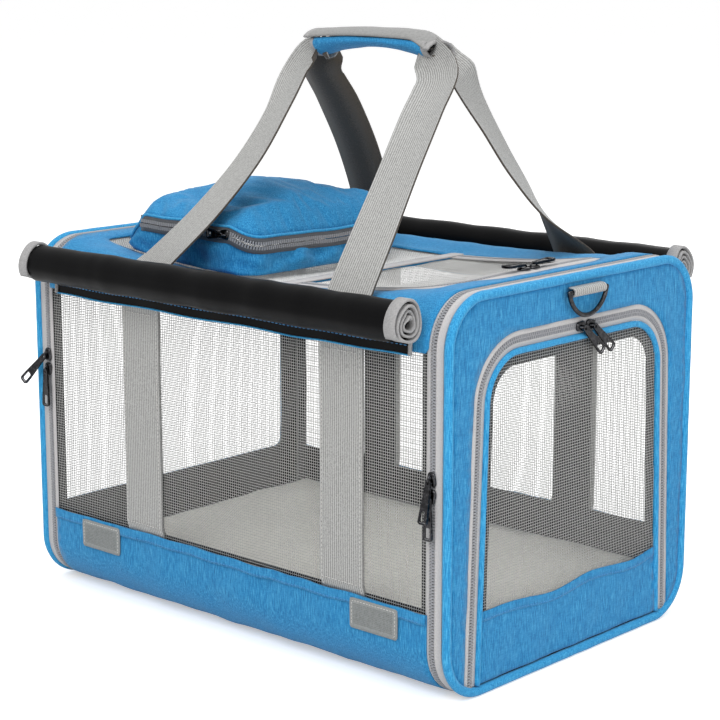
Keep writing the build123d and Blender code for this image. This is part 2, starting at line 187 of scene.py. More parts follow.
def heather(name, dark, middle, light):
    """Heathered plain weave: slubby threads both ways, a fine weave bump and soft sheen."""
    material, tree, shader = new_material(name, roughness=0.8, sheen=0.12, specular=0.25)
    across = noise_node(tree, 1.0, 2.0, (260, 260, 1500), 0.6)
    along = noise_node(tree, 1.0, 2.0, (1500, 1500, 110), 0.6)
    threads = maths(tree, "ADD", maths(tree, "MULTIPLY", across, 0.25), maths(tree, "MULTIPLY", along, 0.75))
    colour = ramp(tree, threads, ((0.36, dark), (0.5, middle), (0.64, light)))
    tree.links.new(colour, shader.inputs["Base Color"])
    weave = noise_node(tree, 1700, 1.0)
    bump(tree, shader, maths(tree, "ADD", weave, threads), 0.3, 0.0003)
    return material


def plain_cloth(name, colour, spread=0.08, roughness=0.85, sheen=0.2, grain=1800, depth=0.0002, specular=0.25):
    """Plain cloth with slight colour variation and a fine grain."""
    material, tree, shader = new_material(name, roughness=roughness, sheen=sheen, specular=specular)
    low = tuple(c * (1 - spread) for c in colour[:3]) + (1,)
    high = tuple(min(1, c * (1 + spread)) for c in colour[:3]) + (1,)
    fine = noise_node(tree, grain * 0.4, 2.0)
    tree.links.new(ramp(tree, fine, ((0.35, low), (0.65, high))), shader.inputs["Base Color"])
    bump(tree, shader, noise_node(tree, grain, 1.0), 0.3, depth)
    return material


def webbing(name, dark, light):
    """Woven webbing: fine cross weave over the ribs that the mesh itself carries; painted shade darkens the grooves
    between the ribs.
    """
    material, tree, shader = new_material(name, roughness=0.7, sheen=0.15, specular=0.3)
    where = tree.nodes.new("ShaderNodeSeparateXYZ")
    tree.links.new(position(tree, (1, 1, 1), "UV"), where.inputs["Vector"])
    # Rib term over the strap UV: highest in the grooves between ribs, where it darkens the colour as painted shade; it
    # also feeds the bump.
    ribs_and_groove_shade = maths(tree, "COSINE", maths(tree, "MULTIPLY", where.outputs["X"], 2 * math.pi / 3), 0)
    pick = maths(tree, "SINE", maths(tree, "MULTIPLY", where.outputs["Y"], 2 * math.pi / 1.3), 0)
    fleck = noise_node(tree, 800, 2.0)
    weave = maths(tree, "ADD", maths(tree, "MULTIPLY", ribs_and_groove_shade, -0.25), maths(tree, "MULTIPLY", pick, 0.05))
    value = maths(tree, "ADD", weave, fleck)
    tree.links.new(ramp(tree, value, ((0.3, dark), (0.7, light))), shader.inputs["Base Color"])
    bump(tree, shader, weave, 0.4, 0.0004)
    return material


def metal(name, colour, roughness, wear):
    """Plated metal with faint streaks, brighter where worn."""
    material, tree, shader = new_material(name, roughness=roughness, metallic=1.0, specular=0.5)
    smear = noise_node(tree, 350, 3.0)
    bright = tuple(min(1, c * wear) for c in colour[:3]) + (1,)
    tree.links.new(ramp(tree, smear, ((0.4, colour), (0.75, bright))), shader.inputs["Base Color"])
    tree.links.new(maths(tree, "MULTIPLY", smear, roughness * 2), shader.inputs["Roughness"])
    return material


BLUE = heather("blue_heather", srgb(22, 106, 158), srgb(35, 129, 184), srgb(70, 158, 203))
BLUE_TRIM = heather("blue_trim", srgb(30, 120, 174), srgb(44, 146, 200), srgb(78, 172, 216))
LINING = plain_cloth("dark_lining", srgb(33, 33, 34), sheen=0.02)
WEB = webbing("grey_webbing", srgb(132, 132, 130), srgb(182, 182, 180))
PATCH = plain_cloth("hook_patch", srgb(140, 143, 142))
GRIP_CLOTH = plain_cloth("grip_cloth", srgb(140, 140, 139), spread=0.1, grain=1500)
TAPE = plain_cloth("zip_tape_cloth", srgb(186, 184, 184), spread=0.06)
TEETH = plain_cloth("zip_teeth", srgb(150, 151, 155), spread=0.1, roughness=0.4, sheen=0.0)
BLACK = plain_cloth("black_cloth", srgb(7, 7, 8), spread=0.12, roughness=0.38, sheen=0.0, grain=1200,
                    specular=0.1)
ZIP_DARK = plain_cloth("dark_zip", srgb(84, 86, 90), spread=0.1, roughness=0.6)
BINDING = plain_cloth("grey_binding", srgb(154, 153, 153), spread=0.12)
HOOKS = plain_cloth("hooks", srgb(118, 122, 122), spread=0.2)
# Yarn of the wall and end nets: the same pale yarn as the roof net, darkened with painted shade; the roof net yarn
# keeps the paler tone.
SHADED_WALL_NET = plain_cloth("net_yarn", srgb(186, 186, 184), spread=0.05, grain=900)
ROOF_NET = plain_cloth("roof_net_yarn", srgb(228, 228, 226), spread=0.05, grain=900)
PAD = plain_cloth("pad_cover", srgb(232, 230, 222), spread=0.05, sheen=0.3, grain=500, depth=0.0004)
BOARD = plain_cloth("board_sheet", srgb(48, 48, 50), roughness=0.5, sheen=0.0)
GUNMETAL = metal("gunmetal", srgb(58, 58, 60), 0.22, 2.4)
STEEL = metal("spring_steel", srgb(150, 150, 152), 0.35, 1.3)
# Darker copy of the grey webbing for the straps' inner faces: painted shade on the faces turned away from the light.
WEB_BACK_SHADE = webbing("webbing_back_painted_shade", srgb(62, 55, 48), srgb(92, 83, 73))
THREAD_BLUE = plain_cloth("blue_thread", srgb(66, 140, 200))
THREAD_GREY = plain_cloth("grey_thread", srgb(205, 203, 200))


# ---------------------------------------------------------------- mesh tools
def piece(name, verts, faces, material, body, replaces=(), smooth=True, lining=None):
    """Makes a mesh object from points in millimetres and ties it to a CAD body."""
    mesh = bpy.data.meshes.new(name)
    mesh.from_pydata((np.asarray(verts, float) * MM).tolist(), [], np.asarray(faces).tolist())
    mesh.update()
    item = bpy.data.objects.new(name, mesh)
    bpy.context.scene.collection.objects.link(item)
    mesh.materials.append(material)
    if lining is not None:
        mesh.materials.append(lining)
    if smooth:
        mesh.polygons.foreach_set("use_smooth", [True] * len(mesh.polygons))
    if body:
        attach(item, body)
    if replaces:
        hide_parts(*replaces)
    return item


def face_out(item, centre):
    """Turns a sheet's faces so that they look away from a centre, in millimetres."""
    mesh = item.data
    middle = Vector(centre) * MM
    total = sum(p.normal.dot(p.center - middle) * p.area for p in mesh.polygons)
    if total < 0:
        mesh.flip_normals()
    return item


def thicken(item, thickness, lining=False):
    """Gives a sheet its cloth thickness on the inner side."""
    solid = item.modifiers.new("thickness", "SOLIDIFY")
    solid.thickness = thickness * MM
    solid.offset = -1
    if lining:
        solid.material_offset = 1
    return item


def inside(points, polygon):
    """Even-odd test of many points against a closed outline."""
    x, y = points[:, 0], points[:, 1]
    hit = np.zeros(len(points), bool)
    closed = np.asarray(polygon)
    for (x0, y0), (x1, y1) in zip(closed, np.roll(closed, -1, 0)):
        if y0 != y1:
            crosses = (y0 > y) != (y1 > y)
            hit ^= crosses & (x < (x1 - x0) * (y - y0) / (y1 - y0) + x0)
    return hit


def resample(points, step, closed=False, extra=None):
    """Points at an even spacing along a path, with the matching values of extra."""
    points = np.asarray(points, float)
    values = points if extra is None else np.hstack([points, np.asarray(extra, float)])
    if closed:
        values = np.vstack([values, values[:1]])
    width = points.shape[1]
    lengths = np.r_[0, np.cumsum(np.linalg.norm(np.diff(values[:, :width], axis=0), axis=1))]
    count = max(2, int(round(lengths[-1] / step)))
    at = np.linspace(0, lengths[-1], count + 1)
    if closed:
        at = at[:-1]
    out = np.column_stack([np.interp(at, lengths, values[:, k]) for k in range(values.shape[1])])
    return out if extra is None else (out[:, :width], out[:, width:])


def rounded_rect(u0, u1, v0, v1, radius, steps=10):
    """Rounded rectangle outline, counter-clockwise from the low side."""
    points = []
    for cu, cv, start in ((u1 - radius, v0 + radius, -90), (u1 - radius, v1 - radius, 0),
                          (u0 + radius, v1 - radius, 90), (u0 + radius, v0 + radius, 180)):
        for k in range(steps + 1):
            angle = math.radians(start + 90 * k / steps)
            points.append((cu + radius * math.cos(angle), cv + radius * math.sin(angle)))
    return points


def fill(outer, holes, step):
    """Even triangles over a flat region with holes: (points, faces)."""
    loops = [resample(loop, step, True) for loop in [outer] + list(holes)]
    edges = []
    start = 0
    for loop in loops:
        n = len(loop)
        edges += [(start + k, start + (k + 1) % n) for k in range(n)]
        start += n
    rim = np.vstack(loops)
    low, high = rim.min(0), rim.max(0)
    rows = np.arange(low[1] + step / 2, high[1], step * 0.87)
    grid = np.array([(u + (row % 2) * step / 2, v) for row, v in enumerate(rows)
                     for u in np.arange(low[0] + step / 2, high[0], step)])
    keep = inside(grid, loops[0])
    for loop in loops[1:]:
        keep &= ~inside(grid, loop)
    grid = grid[keep]
    near = np.array([np.min(np.sum((rim - p) ** 2, 1)) for p in grid]) > (0.55 * step) ** 2
    grid = grid[near]
    points = [Vector(p) for p in np.vstack([rim, grid])]
    verts, _, faces, *_ = geometry.delaunay_2d_cdt(points, edges, [], 0, 1e-6)
    verts = np.array([tuple(v) for v in verts])
    faces = np.array([f for f in faces if len(f) == 3])
    centres = verts[faces].mean(1)
    keep = inside(centres, loops[0])
    for loop in loops[1:]:
        keep &= ~inside(centres, loop)
    return verts, faces[keep]


def sheet(name, outer, holes, step, place, material, body, thickness=1.4, replaces=(),
          lining=None, centre=(0, 0, 165)):
    """Cloth sheet over a flat region, laid in space by place(u, v)."""
    flat, faces = fill(outer, holes, step)
    verts = [place(u, v) for u, v in flat]
    item = piece(name, verts, faces, material, body, replaces, lining=lining)
    face_out(item, centre)
    return thicken(item, thickness, lining is not None)


def frames_along(points, normals):
    """Unit tangents, normals and side vectors along a path."""
    tangents = np.gradient(points, axis=0)
    tangents /= np.linalg.norm(tangents, axis=1)[:, None]
    normals = normals - (normals * tangents).sum(1)[:, None] * tangents
    normals /= np.linalg.norm(normals, axis=1)[:, None]
    return tangents, normals, np.cross(tangents, normals)


def sweep(name, points, normals, profile, material, body, closed=False, caps=True,
          replaces=(), smooth=True):
    """Sweeps a closed profile of (side, height) points along a path; profile may be a list per point."""
    points = np.asarray(points, float)
    normals = np.asarray(normals, float)
    if closed:
        ring = np.vstack([points[-1:], points, points[:1]])
        ring_n = np.vstack([normals[-1:], normals, normals[:1]])
        _, ups, sides = [a[1:-1] for a in frames_along(ring, ring_n)]
    else:
        _, ups, sides = frames_along(points, normals)
    shapes = np.asarray(profile, float)
    if shapes.ndim == 2:
        shapes = np.repeat(shapes[None], len(points), 0)
    m = shapes.shape[1]
    n = len(points)
    verts = (points[:, None] + shapes[:, :, :1] * sides[:, None] + shapes[:, :, 1:] * ups[:, None]).reshape(-1, 3)
    faces = []
    for i in range(n if closed else n - 1):
        j = (i + 1) % n
        faces += [(i * m + k, j * m + k, j * m + (k + 1) % m, i * m + (k + 1) % m) for k in range(m)]
    item = piece(name, verts, faces, material, body, replaces, smooth)
    if caps and not closed:
        shell = bmesh.new()
        shell.from_mesh(item.data)
        shell.verts.ensure_lookup_table()
        shell.faces.new([shell.verts[k] for k in range(m)])
        shell.faces.new([shell.verts[(n - 1) * m + k] for k in reversed(range(m))])
        shell.to_mesh(item.data)
        shell.free()
    shell = bmesh.new()
    shell.from_mesh(item.data)
    bmesh.ops.recalc_face_normals(shell, faces=shell.faces)
    shell.to_mesh(item.data)
    shell.free()
    return item


def circle(radius, count=10):
    """Round profile."""
    return [(radius * math.cos(2 * math.pi * k / count), radius * math.sin(2 * math.pi * k / count))
            for k in range(count)]


def flat_profile(width, thickness, ribs=0, rib=0.0, offset=0.0, count=None):
    """Flat strap profile, with ribs along its outer face."""
    count = count or max(2, ribs * 3)
    top = []
    for k in range(count + 1):
        t = k / count
        wave = rib * (0.5 - 0.5 * math.cos(2 * math.pi * ribs * t)) if ribs else 0
        top.append((offset + width * (t - 0.5), thickness / 2 + wave))
    low = [(offset + width * (0.5 - t), -thickness / 2) for t in np.linspace(0, 1, 5)]
    return top + low


def add_strip_uv(item, ring):
    """UV map for a swept strap, in millimetres along it."""
    mesh = item.data
    spots = np.array([v.co for v in mesh.vertices]).reshape(-1, ring, 3)
    steps = np.linalg.norm(np.diff(spots.mean(1), axis=0), axis=1) / MM
    run = np.r_[0, np.cumsum(steps)]
    layer = mesh.uv_layers.new(name="strap")
    for loop in mesh.loops:
        index = loop.vertex_index
        layer.data[loop.index].uv = (index % ring, run[index // ring])


def dashes(name, points, normals, length, gap, radius, material, body):
    """A row of stitches along a path, each a small tapered bar."""
    pts, ups = resample(points, 0.5, extra=normals)
    period = length + gap
    total = 0.5 * (len(pts) - 1)
    verts, faces = [], []
    for k in range(int(total // period)):
        a = int(k * period / 0.5)
        b = int((k * period + length) / 0.5)
        p, q = pts[a], pts[b]
        t = (q - p) / np.linalg.norm(q - p)
        n = ups[a] / np.linalg.norm(ups[a])
        s = np.cross(t, n)
        base = len(verts)
        for end, lift, size in ((p, 0.0, 0.5), (p * 0.75 + q * 0.25, 1.0, 1.0),
                                (p * 0.25 + q * 0.75, 1.0, 1.0), (q, 0.0, 0.5)):
            for side, up in ((-1, 0), (0, 1), (1, 0), (0, -0.6)):
                verts.append(end + (s * side * size + n * (up * size + 0.3 * lift)) * radius)
        for r in range(3):
            for m in range(4):
                faces.append((base + r * 4 + m, base + r * 4 + (m + 1) % 4,
                              base + (r + 1) * 4 + (m + 1) % 4, base + (r + 1) * 4 + m))
        faces.append((base + 3, base + 2, base + 1, base))
        faces.append((base + 12, base + 13, base + 14, base + 15))
    return piece(name, verts, faces, material, body)


def net(name, outline, holes, place, body, pitch=2.45, width=0.48, depth=0.4, segment=22.0,
        replaces=(), margin=0.0, yarn=SHADED_WALL_NET):
    """Open net: two crossed layers of yarns clipped to an outline, laid in space by place(u, v)."""
    loops = [np.asarray(outline, float)] + [np.asarray(h, float) for h in holes]
    verts, faces = [], []
    for layer, (run, cross) in enumerate(((0, 1), (1, 0))):
        low = min(loop[:, cross].min() for loop in loops)
        high = max(loop[:, cross].max() for loop in loops)
        for level in np.arange(low + pitch * 0.5, high, pitch):
            cuts = []
            for loop in loops:
                a, b = loop, np.roll(loop, -1, 0)
                hit = (a[:, cross] > level) != (b[:, cross] > level)
                a, b = a[hit], b[hit]
                cuts += list(a[:, run] + (level - a[:, cross]) / (b[:, cross] - a[:, cross]) * (b[:, run] - a[:, run]))
            cuts.sort()
            for first, last in zip(cuts[::2], cuts[1::2]):
                if last - first < 1:
                    continue
                count = max(2, int((last - first) / segment) + 1)
                base = len(verts)
                for r in np.linspace(first - margin, last + margin, count):
                    for side, lift in ((-0.5, 0), (0, 0.5), (0.5, 0), (0, -0.5)):
                        uv = [0.0, 0.0]
                        uv[run] = r
                        uv[cross] = level + side * width
                        verts.append(place(uv[0], uv[1], (layer - 0.5) * depth * 0.5 + lift * depth))
                for k in range(count - 1):
                    for m in range(4):
                        faces.append((base + 4 * k + m, base + 4 * k + (m + 1) % 4,
                                      base + 4 * k + 4 + (m + 1) % 4, base + 4 * k + 4 + m))
                faces.append((base + 3, base + 2, base + 1, base))
                end = base + 4 * (count - 1)
                faces.append((end, end + 1, end + 2, end + 3))
    return piece(name, verts, faces, yarn, body, replaces)


def teeth(name, points, normals, side, body, pitch=2.5):
    """One row of zip teeth along a path; side says which tape it is on."""
    pts, ups = resample(points, pitch, extra=normals)
    if side < 0:
        pts = (pts[:-1] + pts[1:]) / 2
        ups = (ups[:-1] + ups[1:]) / 2
    tangents, ups, across = frames_along(pts, ups)
    corners = [(-0.8, -0.5, -0.3), (0.8, -0.5, -0.3), (0.8, 3.1, -0.3), (-0.8, 3.1, -0.3),
               (-0.55, -0.3, 1.3), (0.55, -0.3, 1.3), (0.6, 2.9, 1.0), (-0.6, 2.9, 1.0)]
    verts = np.concatenate([
        pts[:, None] + np.array([c[0] for c in corners])[None, :, None] * tangents[:, None]
        + side * np.array([c[1] for c in corners])[None, :, None] * across[:, None]
        + np.array([c[2] for c in corners])[None, :, None] * ups[:, None]])
    verts = verts.reshape(-1, 3)
    quads = [(0, 3, 2, 1), (4, 5, 6, 7), (0, 1, 5, 4), (1, 2, 6, 5), (2, 3, 7, 6), (3, 0, 4, 7)]
    if side < 0:
        quads = [q[::-1] for q in quads]
    faces = [tuple(8 * k + c for c in q) for k in range(len(pts)) for q in quads]
    return piece(name, verts, faces, TEETH, body, smooth=False)


def zip_half(name, points, normals, side, body, width, replaces=(), cloth=None):
    """One side of a zip: its tape, with a raised cord beside the teeth, and the teeth."""
    tape = [(0.15, -0.15), (2.5, -0.15), (2.8, 0.6), (3.4, 0.85), (4.1, 0.35), (width, 0.3), (width, -0.6), (0.15, -0.6)]
    profile = [(side * u, h) for u, h in tape]
    pts, ups = resample(points, 6.0, extra=normals)
    sweep(name + "_tape", pts, ups, profile, cloth or TAPE, body, replaces=replaces)
    teeth(name + "_teeth", points, normals, side, body)


# ---------------------------------------------------------------- the case's rounded cross-section
FLAT = HALF_Y - CORNER_R
ARC = math.pi / 2 * CORNER_R
WALL = HEIGHT - 2 * CORNER_R
GIRTH = 2 * (FLAT + ARC) + WALL


def around(s, inset=0.0):
    """Point and outward normal s mm round the cross-section from the roof's middle; rear is positive."""
    if s > GIRTH:
        s -= 2 * GIRTH
    side = 1 if s >= 0 else -1
    s = abs(s)
    corner = CORNER_R
    if s <= FLAT:
        y, z, n = s, HEIGHT, (0, 1)
    elif s <= FLAT + ARC:
        a = (s - FLAT) / corner
        n = (math.sin(a), math.cos(a))
        y, z = FLAT + corner * n[0], HEIGHT - corner + corner * n[1]
    elif s <= FLAT + ARC + WALL:
        y, z, n = HALF_Y, HEIGHT - corner - (s - FLAT - ARC), (1, 0)
    elif s <= FLAT + 2 * ARC + WALL:
        a = (s - FLAT - ARC - WALL) / corner
        n = (math.cos(a), -math.sin(a))
        y, z = FLAT + corner * n[0], corner + corner * n[1]
    else:
        y, z, n = FLAT - (s - FLAT - 2 * ARC - WALL), 0.0, (0, -1)
    normal = np.array((0, side * n[0], n[1]))
    return np.array((0, side * y, z)) - inset * normal, normal


def girth_at(z):
    """Distance round the cross-section from the roof's middle to a height on the side wall."""
    return FLAT + ARC + HEIGHT - CORNER_R - z


def smooth_step(t):
    """Smooth rise from 0 to 1."""
    t = max(0.0, min(1.0, t))
    return t * t * (3 - 2 * t)


def wobble(x, y, z, size, amount, seed=0.0):
    """Smooth seeded noise, in mm."""
    return noise.noise(Vector((x / size + seed, y / size, z / size))) * amount


def wrap_path(x, inset, first, last, step=3.0):
    """Path round the cross-section at one x, with outward normals."""
    count = int(abs(last - first) / step) + 1
    spots = [around(s, inset) for s in np.linspace(first, last, count)]
    points = np.array([p for p, _ in spots])
    points[:, 0] = x
    return points, np.array([n for _, n in spots])


def rounded(points, radius, steps=8):
    """Open polyline with every inner corner rounded."""
    points = [np.asarray(p, float) for p in points]
    out = [points[0]]
    for before, corner, after in zip(points, points[1:], points[2:]):
        u = (before - corner) / np.linalg.norm(before - corner)
        v = (after - corner) / np.linalg.norm(after - corner)
        half = math.acos(float(u @ v)) / 2
        centre = corner + (u + v) / np.linalg.norm(u + v) * radius / math.sin(half)
        first = corner + u * radius / math.tan(half) - centre
        last = corner + v * radius / math.tan(half) - centre
        turn = math.pi - 2 * half
        for k in range(steps + 1):
            t = k / steps
            out.append(centre + (math.sin((1 - t) * turn) * first + math.sin(t * turn) * last) / math.sin(turn))
    out.append(points[-1])
    return out


# ---------------------------------------------------------------- blue shell and its trims
def band_cloth():
    """Blue trough: the band up both long sides and the underside, with its sewn hem."""
    start = girth_at(BAND_TOP)

    def place(x, s):
        point, normal = around(s, 0.9)
        edge = 1 - min(1, (BODY_X - abs(x)) / 30)
        ruck = wobble(x, s, 0, 34, 1.5) + wobble(x, s, 5, 11, 0.35)
        if s < start + 8 or s > 2 * GIRTH - start - 8:
            point = point + np.array((0, 0, wobble(x, 0, 9, 28, 1.6)))
        point[0] = x
        return point + normal * ruck * (1 - edge)

    far = 2 * GIRTH - start
    outline = [(-BODY_X, start), (BODY_X, start), (BODY_X, far), (-BODY_X, far)]
    sheet("band_cloth", outline, [], 7, place, BLUE, "shell", 1.5, ("base_trough",), LINING)
    for side, name in ((-1, "front"), (1, "rear")):
        def hem(x, s):
            point, normal = around(side * s, -0.35)
            point[0] = x
            lift = wobble(x, 0, 9, 28, 1.6) + 0.6
            return point + np.array((0, 0, lift)) + normal * (wobble(x, s, side, 22, 0.6) + 0.2)
        strip = [(-BODY_X, start), (BODY_X, start), (BODY_X, start + 9), (-BODY_X, start + 9)]
        sheet(f"{name}_band_hem", strip, [], 4.5, hem, BLUE, "shell", 1.0)
        xs = np.arange(-BODY_X + 3, BODY_X - 3, 4.0)
        line = np.array([hem(x, start + 7.2) for x in xs])
        dashes(f"{name}_band_stitches", line, np.tile((0, side, 0), (len(xs), 1)), 2.6, 1.2, 0.35,
               THREAD_BLUE, "shell")


def roof_sag(x, y):
    """How far the roof hangs below the hoops' height, in mm."""
    along = max(0.0, 1 - ((x + 8) / 220) ** 2)
    t = max(0.0, min(1.0, (167 - abs(y)) / 46))
    return 21 * along ** 0.8 * t * t * (3 - 2 * t)


def roof_outline(inset):
    """Roof door's outline from its hinge end round to the hinge end again, on (x, y)."""
    x0, x1 = ROOF_HINGE, ROOF_END - inset
    half = ROOF_HALF - inset
    return rounded([(x0, -half), (x1, -half), (x1, half), (x0, half)], ROOF_R - inset, 12)


ROOF_HINGE = ROOF_LOW[0]
ROOF_END = ROOF_HIGH[0] + 0.2
ROOF_HALF = ROOF_HIGH[1] + 0.2
ROOF_R = 60.0
FIXED_LOW, FIXED_HIGH = box_mm("top_fixed_mesh")


def top_cloth():
    """Blue roof border with its shoulders, open over the fixed net and the roof door."""
    edge = girth_at(SIDE_TOP)

    def place(x, s):
        point, normal = around(s, 0.9)
        point[0] = x
        hold = min(1, max(0, (BODY_X - abs(x)) / 30))
        ruck = wobble(x, s, 3, 30, 1.3, 4.0) + wobble(x, s, 8, 12, 0.4)
        point[2] -= roof_sag(x, point[1]) if point[2] > HEIGHT / 2 else 0
        return point + normal * ruck * hold

    x0, x1 = FIXED_LOW[0] + 6, FIXED_HIGH[0] - 6
    window = rounded_rect(x0, x1, -ROOF_HALF, ROOF_HALF, 8, 4)
    outline = [(-BODY_X, -edge), (BODY_X, -edge), (BODY_X, edge), (-BODY_X, edge)]
    sheet("top_cloth", outline, [window, roof_outline(0)], 7, place, BLUE, "shell", 1.5,
          ("top_frame",), LINING)


def end_trims():
    """Piping and the two zip halves round each end."""
    for name, side in (("right", 1), ("left", -1)):
        points, normals = wrap_path(side * PIPE_X, PIPE_R, -GIRTH, GIRTH - 2.0, 2.5)
        cord = []
        for point in points:
            size = PIPE_R * (1 + wobble(*point, 16, 0.05) + wobble(*point, 5, 0.02))
            cord.append(circle(size, 14))
        sweep(f"{name}_piping_cord", points, normals, cord, BLUE_TRIM, f"{name}_end",
              closed=True, replaces=(f"{name}_end_piping",))
        points, normals = wrap_path(side * SEAM_X, 2.4, -GIRTH, GIRTH)
        zip_half(f"{name}_body_zip_half", points, normals, -side, "shell", 6.4, (f"{name}_body_zip",))
        zip_half(f"{name}_end_zip_half", points, normals, side, f"{name}_end", 9.8, (f"{name}_end_zip",))

        def facing(x, s):
            point, _ = around(s, 4.6)
            return np.array((side * x, point[1], point[2]))
        for part, body, x0, x1 in (("case", "shell", BODY_X - 8, SEAM_X - 1), ("panel", f"{name}_end", SEAM_X + 1, PANEL_X - 1)):
            strip = [(x0, -GIRTH), (x1, -GIRTH), (x1, GIRTH), (x0, GIRTH)]
            sheet(f"{name}_{part}_facing", strip, [], 6, facing, LINING, body, 0.8)


# ---------------------------------------------------------------- arched door and the two ends
DOOR_TOP = 290.0
DOOR_SILL = box_mm("right_door_zip")[0][2]
DOOR_R = 50.0
ZIP_HALF = 7.0
DOOR_LOW, DOOR_HIGH = box_mm("right_door_zip")
DOOR_HALF_LOW = DOOR_HIGH[1] + 0.55
DOOR_TAPER = 10.5 / DOOR_TOP
CLOTH_TOP = box_mm("right_door_panel")[1][2]


def door_half(z):
    """Half-width of the arched door's zip line at a height."""
    return DOOR_HALF_LOW - DOOR_TAPER * z


def arch(inset, sill, steps=12):
    """Arched door's outline on (y, z), from the front foot over to the rear foot."""
    top = DOOR_TOP - inset
    low, high = door_half(sill) - inset, door_half(top) - inset
    return rounded([(-low, sill), (-high, top), (high, top), (low, sill)], DOOR_R - inset, steps)


def on_end(x, bulge=0.0, seed=0.0, ripple=0.0):
    """Maps (y, z) onto an end plane, with ripples and a soft bulge."""
    side = 1 if x > 0 else -1

    def place(y, z, lift=0.0):
        ruck = wobble(y, z, seed, 36, ripple, seed) + wobble(y, z, seed, 12, 0.3 * ripple, seed)
        return np.array((x + side * (bulge * (1 - (y / HALF_Y) ** 2) + ruck + lift), y, z))
    return place


def right_end():
    """Blue end panel with its arched door, door zip, piping and net window."""
    rim = 2 * PIPE_R - 0.6
    half, top, radius = HALF_Y - rim, HEIGHT - rim, CORNER_R - rim
    foot = door_half(rim) + ZIP_HALF
    outer = rounded([(foot, rim), (half, rim), (half, top), (-half, top), (-half, rim), (-foot, rim)], radius, 8)
    outline = outer + arch(-ZIP_HALF, rim)
    sheet("right_panel_cloth", outline, [], 6, on_end(PANEL_X + 1.8, 0, 1.0, 1.0), BLUE, "right_end",
          1.4, ("right_end_panel",), LINING)
    path = np.array([(PANEL_X + 1.0, y, z) for y, z in arch(0, DOOR_SILL)])
    path = resample(path, 3.0)
    normals = np.tile((1.0, 0, 0), (len(path), 1))
    zip_half("door_frame_zip_half", path, normals, -1, "right_end", ZIP_HALF, ("right_door_frame_zip",))
    zip_half("door_zip_half", path, normals, 1, "right_door", ZIP_HALF, ("right_door_zip",))
    trim = 2.8
    path = np.array([(PANEL_X + 1.2, y, z) for y, z in arch(ZIP_HALF + trim + 0.2, DOOR_SILL)])
    path = resample(path, 3.0)
    cord = [circle(trim * (1 + wobble(*p, 12, 0.08)), 12) for p in path]
    sweep("door_piping_cord", path, np.tile((1.0, 0, 0), (len(path), 1)), cord, BLUE_TRIM, "right_door",
          replaces=("right_door_piping",))
    inner = ZIP_HALF + 2 * trim - 0.5
    low, high = door_half(DOOR_SILL) - inner, door_half(CLOTH_TOP) - inner
    ys = np.linspace(high, -high, 24)
    crest = [(y, CLOTH_TOP - 3 + wobble(y, 0, 0, 60, 5) + 3 * (y / high) ** 2) for y in ys]
    outline = [(-low, DOOR_SILL), (low, DOOR_SILL)] + crest
    face = on_end(PANEL_X + 1.6, 0, 2.0, 1.2)
    sheet("door_lower_cloth", outline, [], 6, face, BLUE, "right_door", 1.4,
          ("right_door_panel",), LINING)
    hem = [(y, z + 0.6) for y, z in crest] + [(y, z - 8) for y, z in reversed(crest)]
    lifted = on_end(PANEL_X + 2.3, 0, 2.0, 1.2)
    sheet("door_cloth_hem", hem, [], 4, lifted, BLUE, "right_door", 0.9)
    line = np.array([lifted(y, z - 6.2) for y, z in crest])
    dashes("door_hem_stitches", line, np.tile((1.0, 0, 0), (len(line), 1)), 2.6, 1.2, 0.35, THREAD_BLUE,
           "right_door")
    window = arch(inner, CLOTH_TOP - 6)
    net("door_net", window, [], on_end(PANEL_X + 0.2, 0, 5.0, 0.25), "right_door",
        replaces=("right_door_mesh",))
    edge = arch(ZIP_HALF + 1.0, DOOR_SILL)
    inner_edge = arch(ZIP_HALF + 15.0, DOOR_SILL)
    sheet("door_inner_binding", edge + inner_edge[::-1], [], 5, on_end(PANEL_X - 1.6), LINING, "right_door",
          0.8)


def left_end():
    """Left end: blue border, net and dark inner binding."""
    rim = 2 * PIPE_R - 0.6
    outer = rounded_rect(-HALF_Y + rim, HALF_Y - rim, rim, HEIGHT - rim, CORNER_R - rim)
    low, high = box_mm("left_end_mesh")
    window = rounded_rect(low[1] + 4, high[1] - 4, low[2] + 4, high[2] - 4, 8)
    sheet("left_panel_cloth", outer, [window], 7, on_end(-PANEL_X - 1.8, 0, 7.0, 1.0), BLUE, "left_end",
          1.4, ("left_end_panel",), LINING)
    bigger = rounded_rect(low[1], high[1], low[2], high[2], 10)
    net("left_net", bigger, [], on_end(-PANEL_X + 0.6, 0, 9.0, 0.25), "left_end", replaces=("left_end_mesh",))
    ring = rounded_rect(low[1] + 6, high[1] - 6, low[2] + 5, high[2] - 8, 6)
    cover = rounded_rect(-HALF_Y + 5, HALF_Y - 5, 5, HEIGHT - 5, CORNER_R - 5)
    sheet("left_inner_lining", cover, [ring], 7, on_end(-PANEL_X + 3.0), LINING, "left_end", 0.8)


# ---------------------------------------------------------------- nets, webbing and patches of the long sides
STRAP_LOW, STRAP_HIGH = box_mm("side_webbing")
STRAP_W = 48.0
STRAPS = {-1: (-105.0, 140.0), 1: (-118.0, 127.0)}
SIDE_NAME = {-1: "front", 1: "rear"}
NET_Y = 167.0


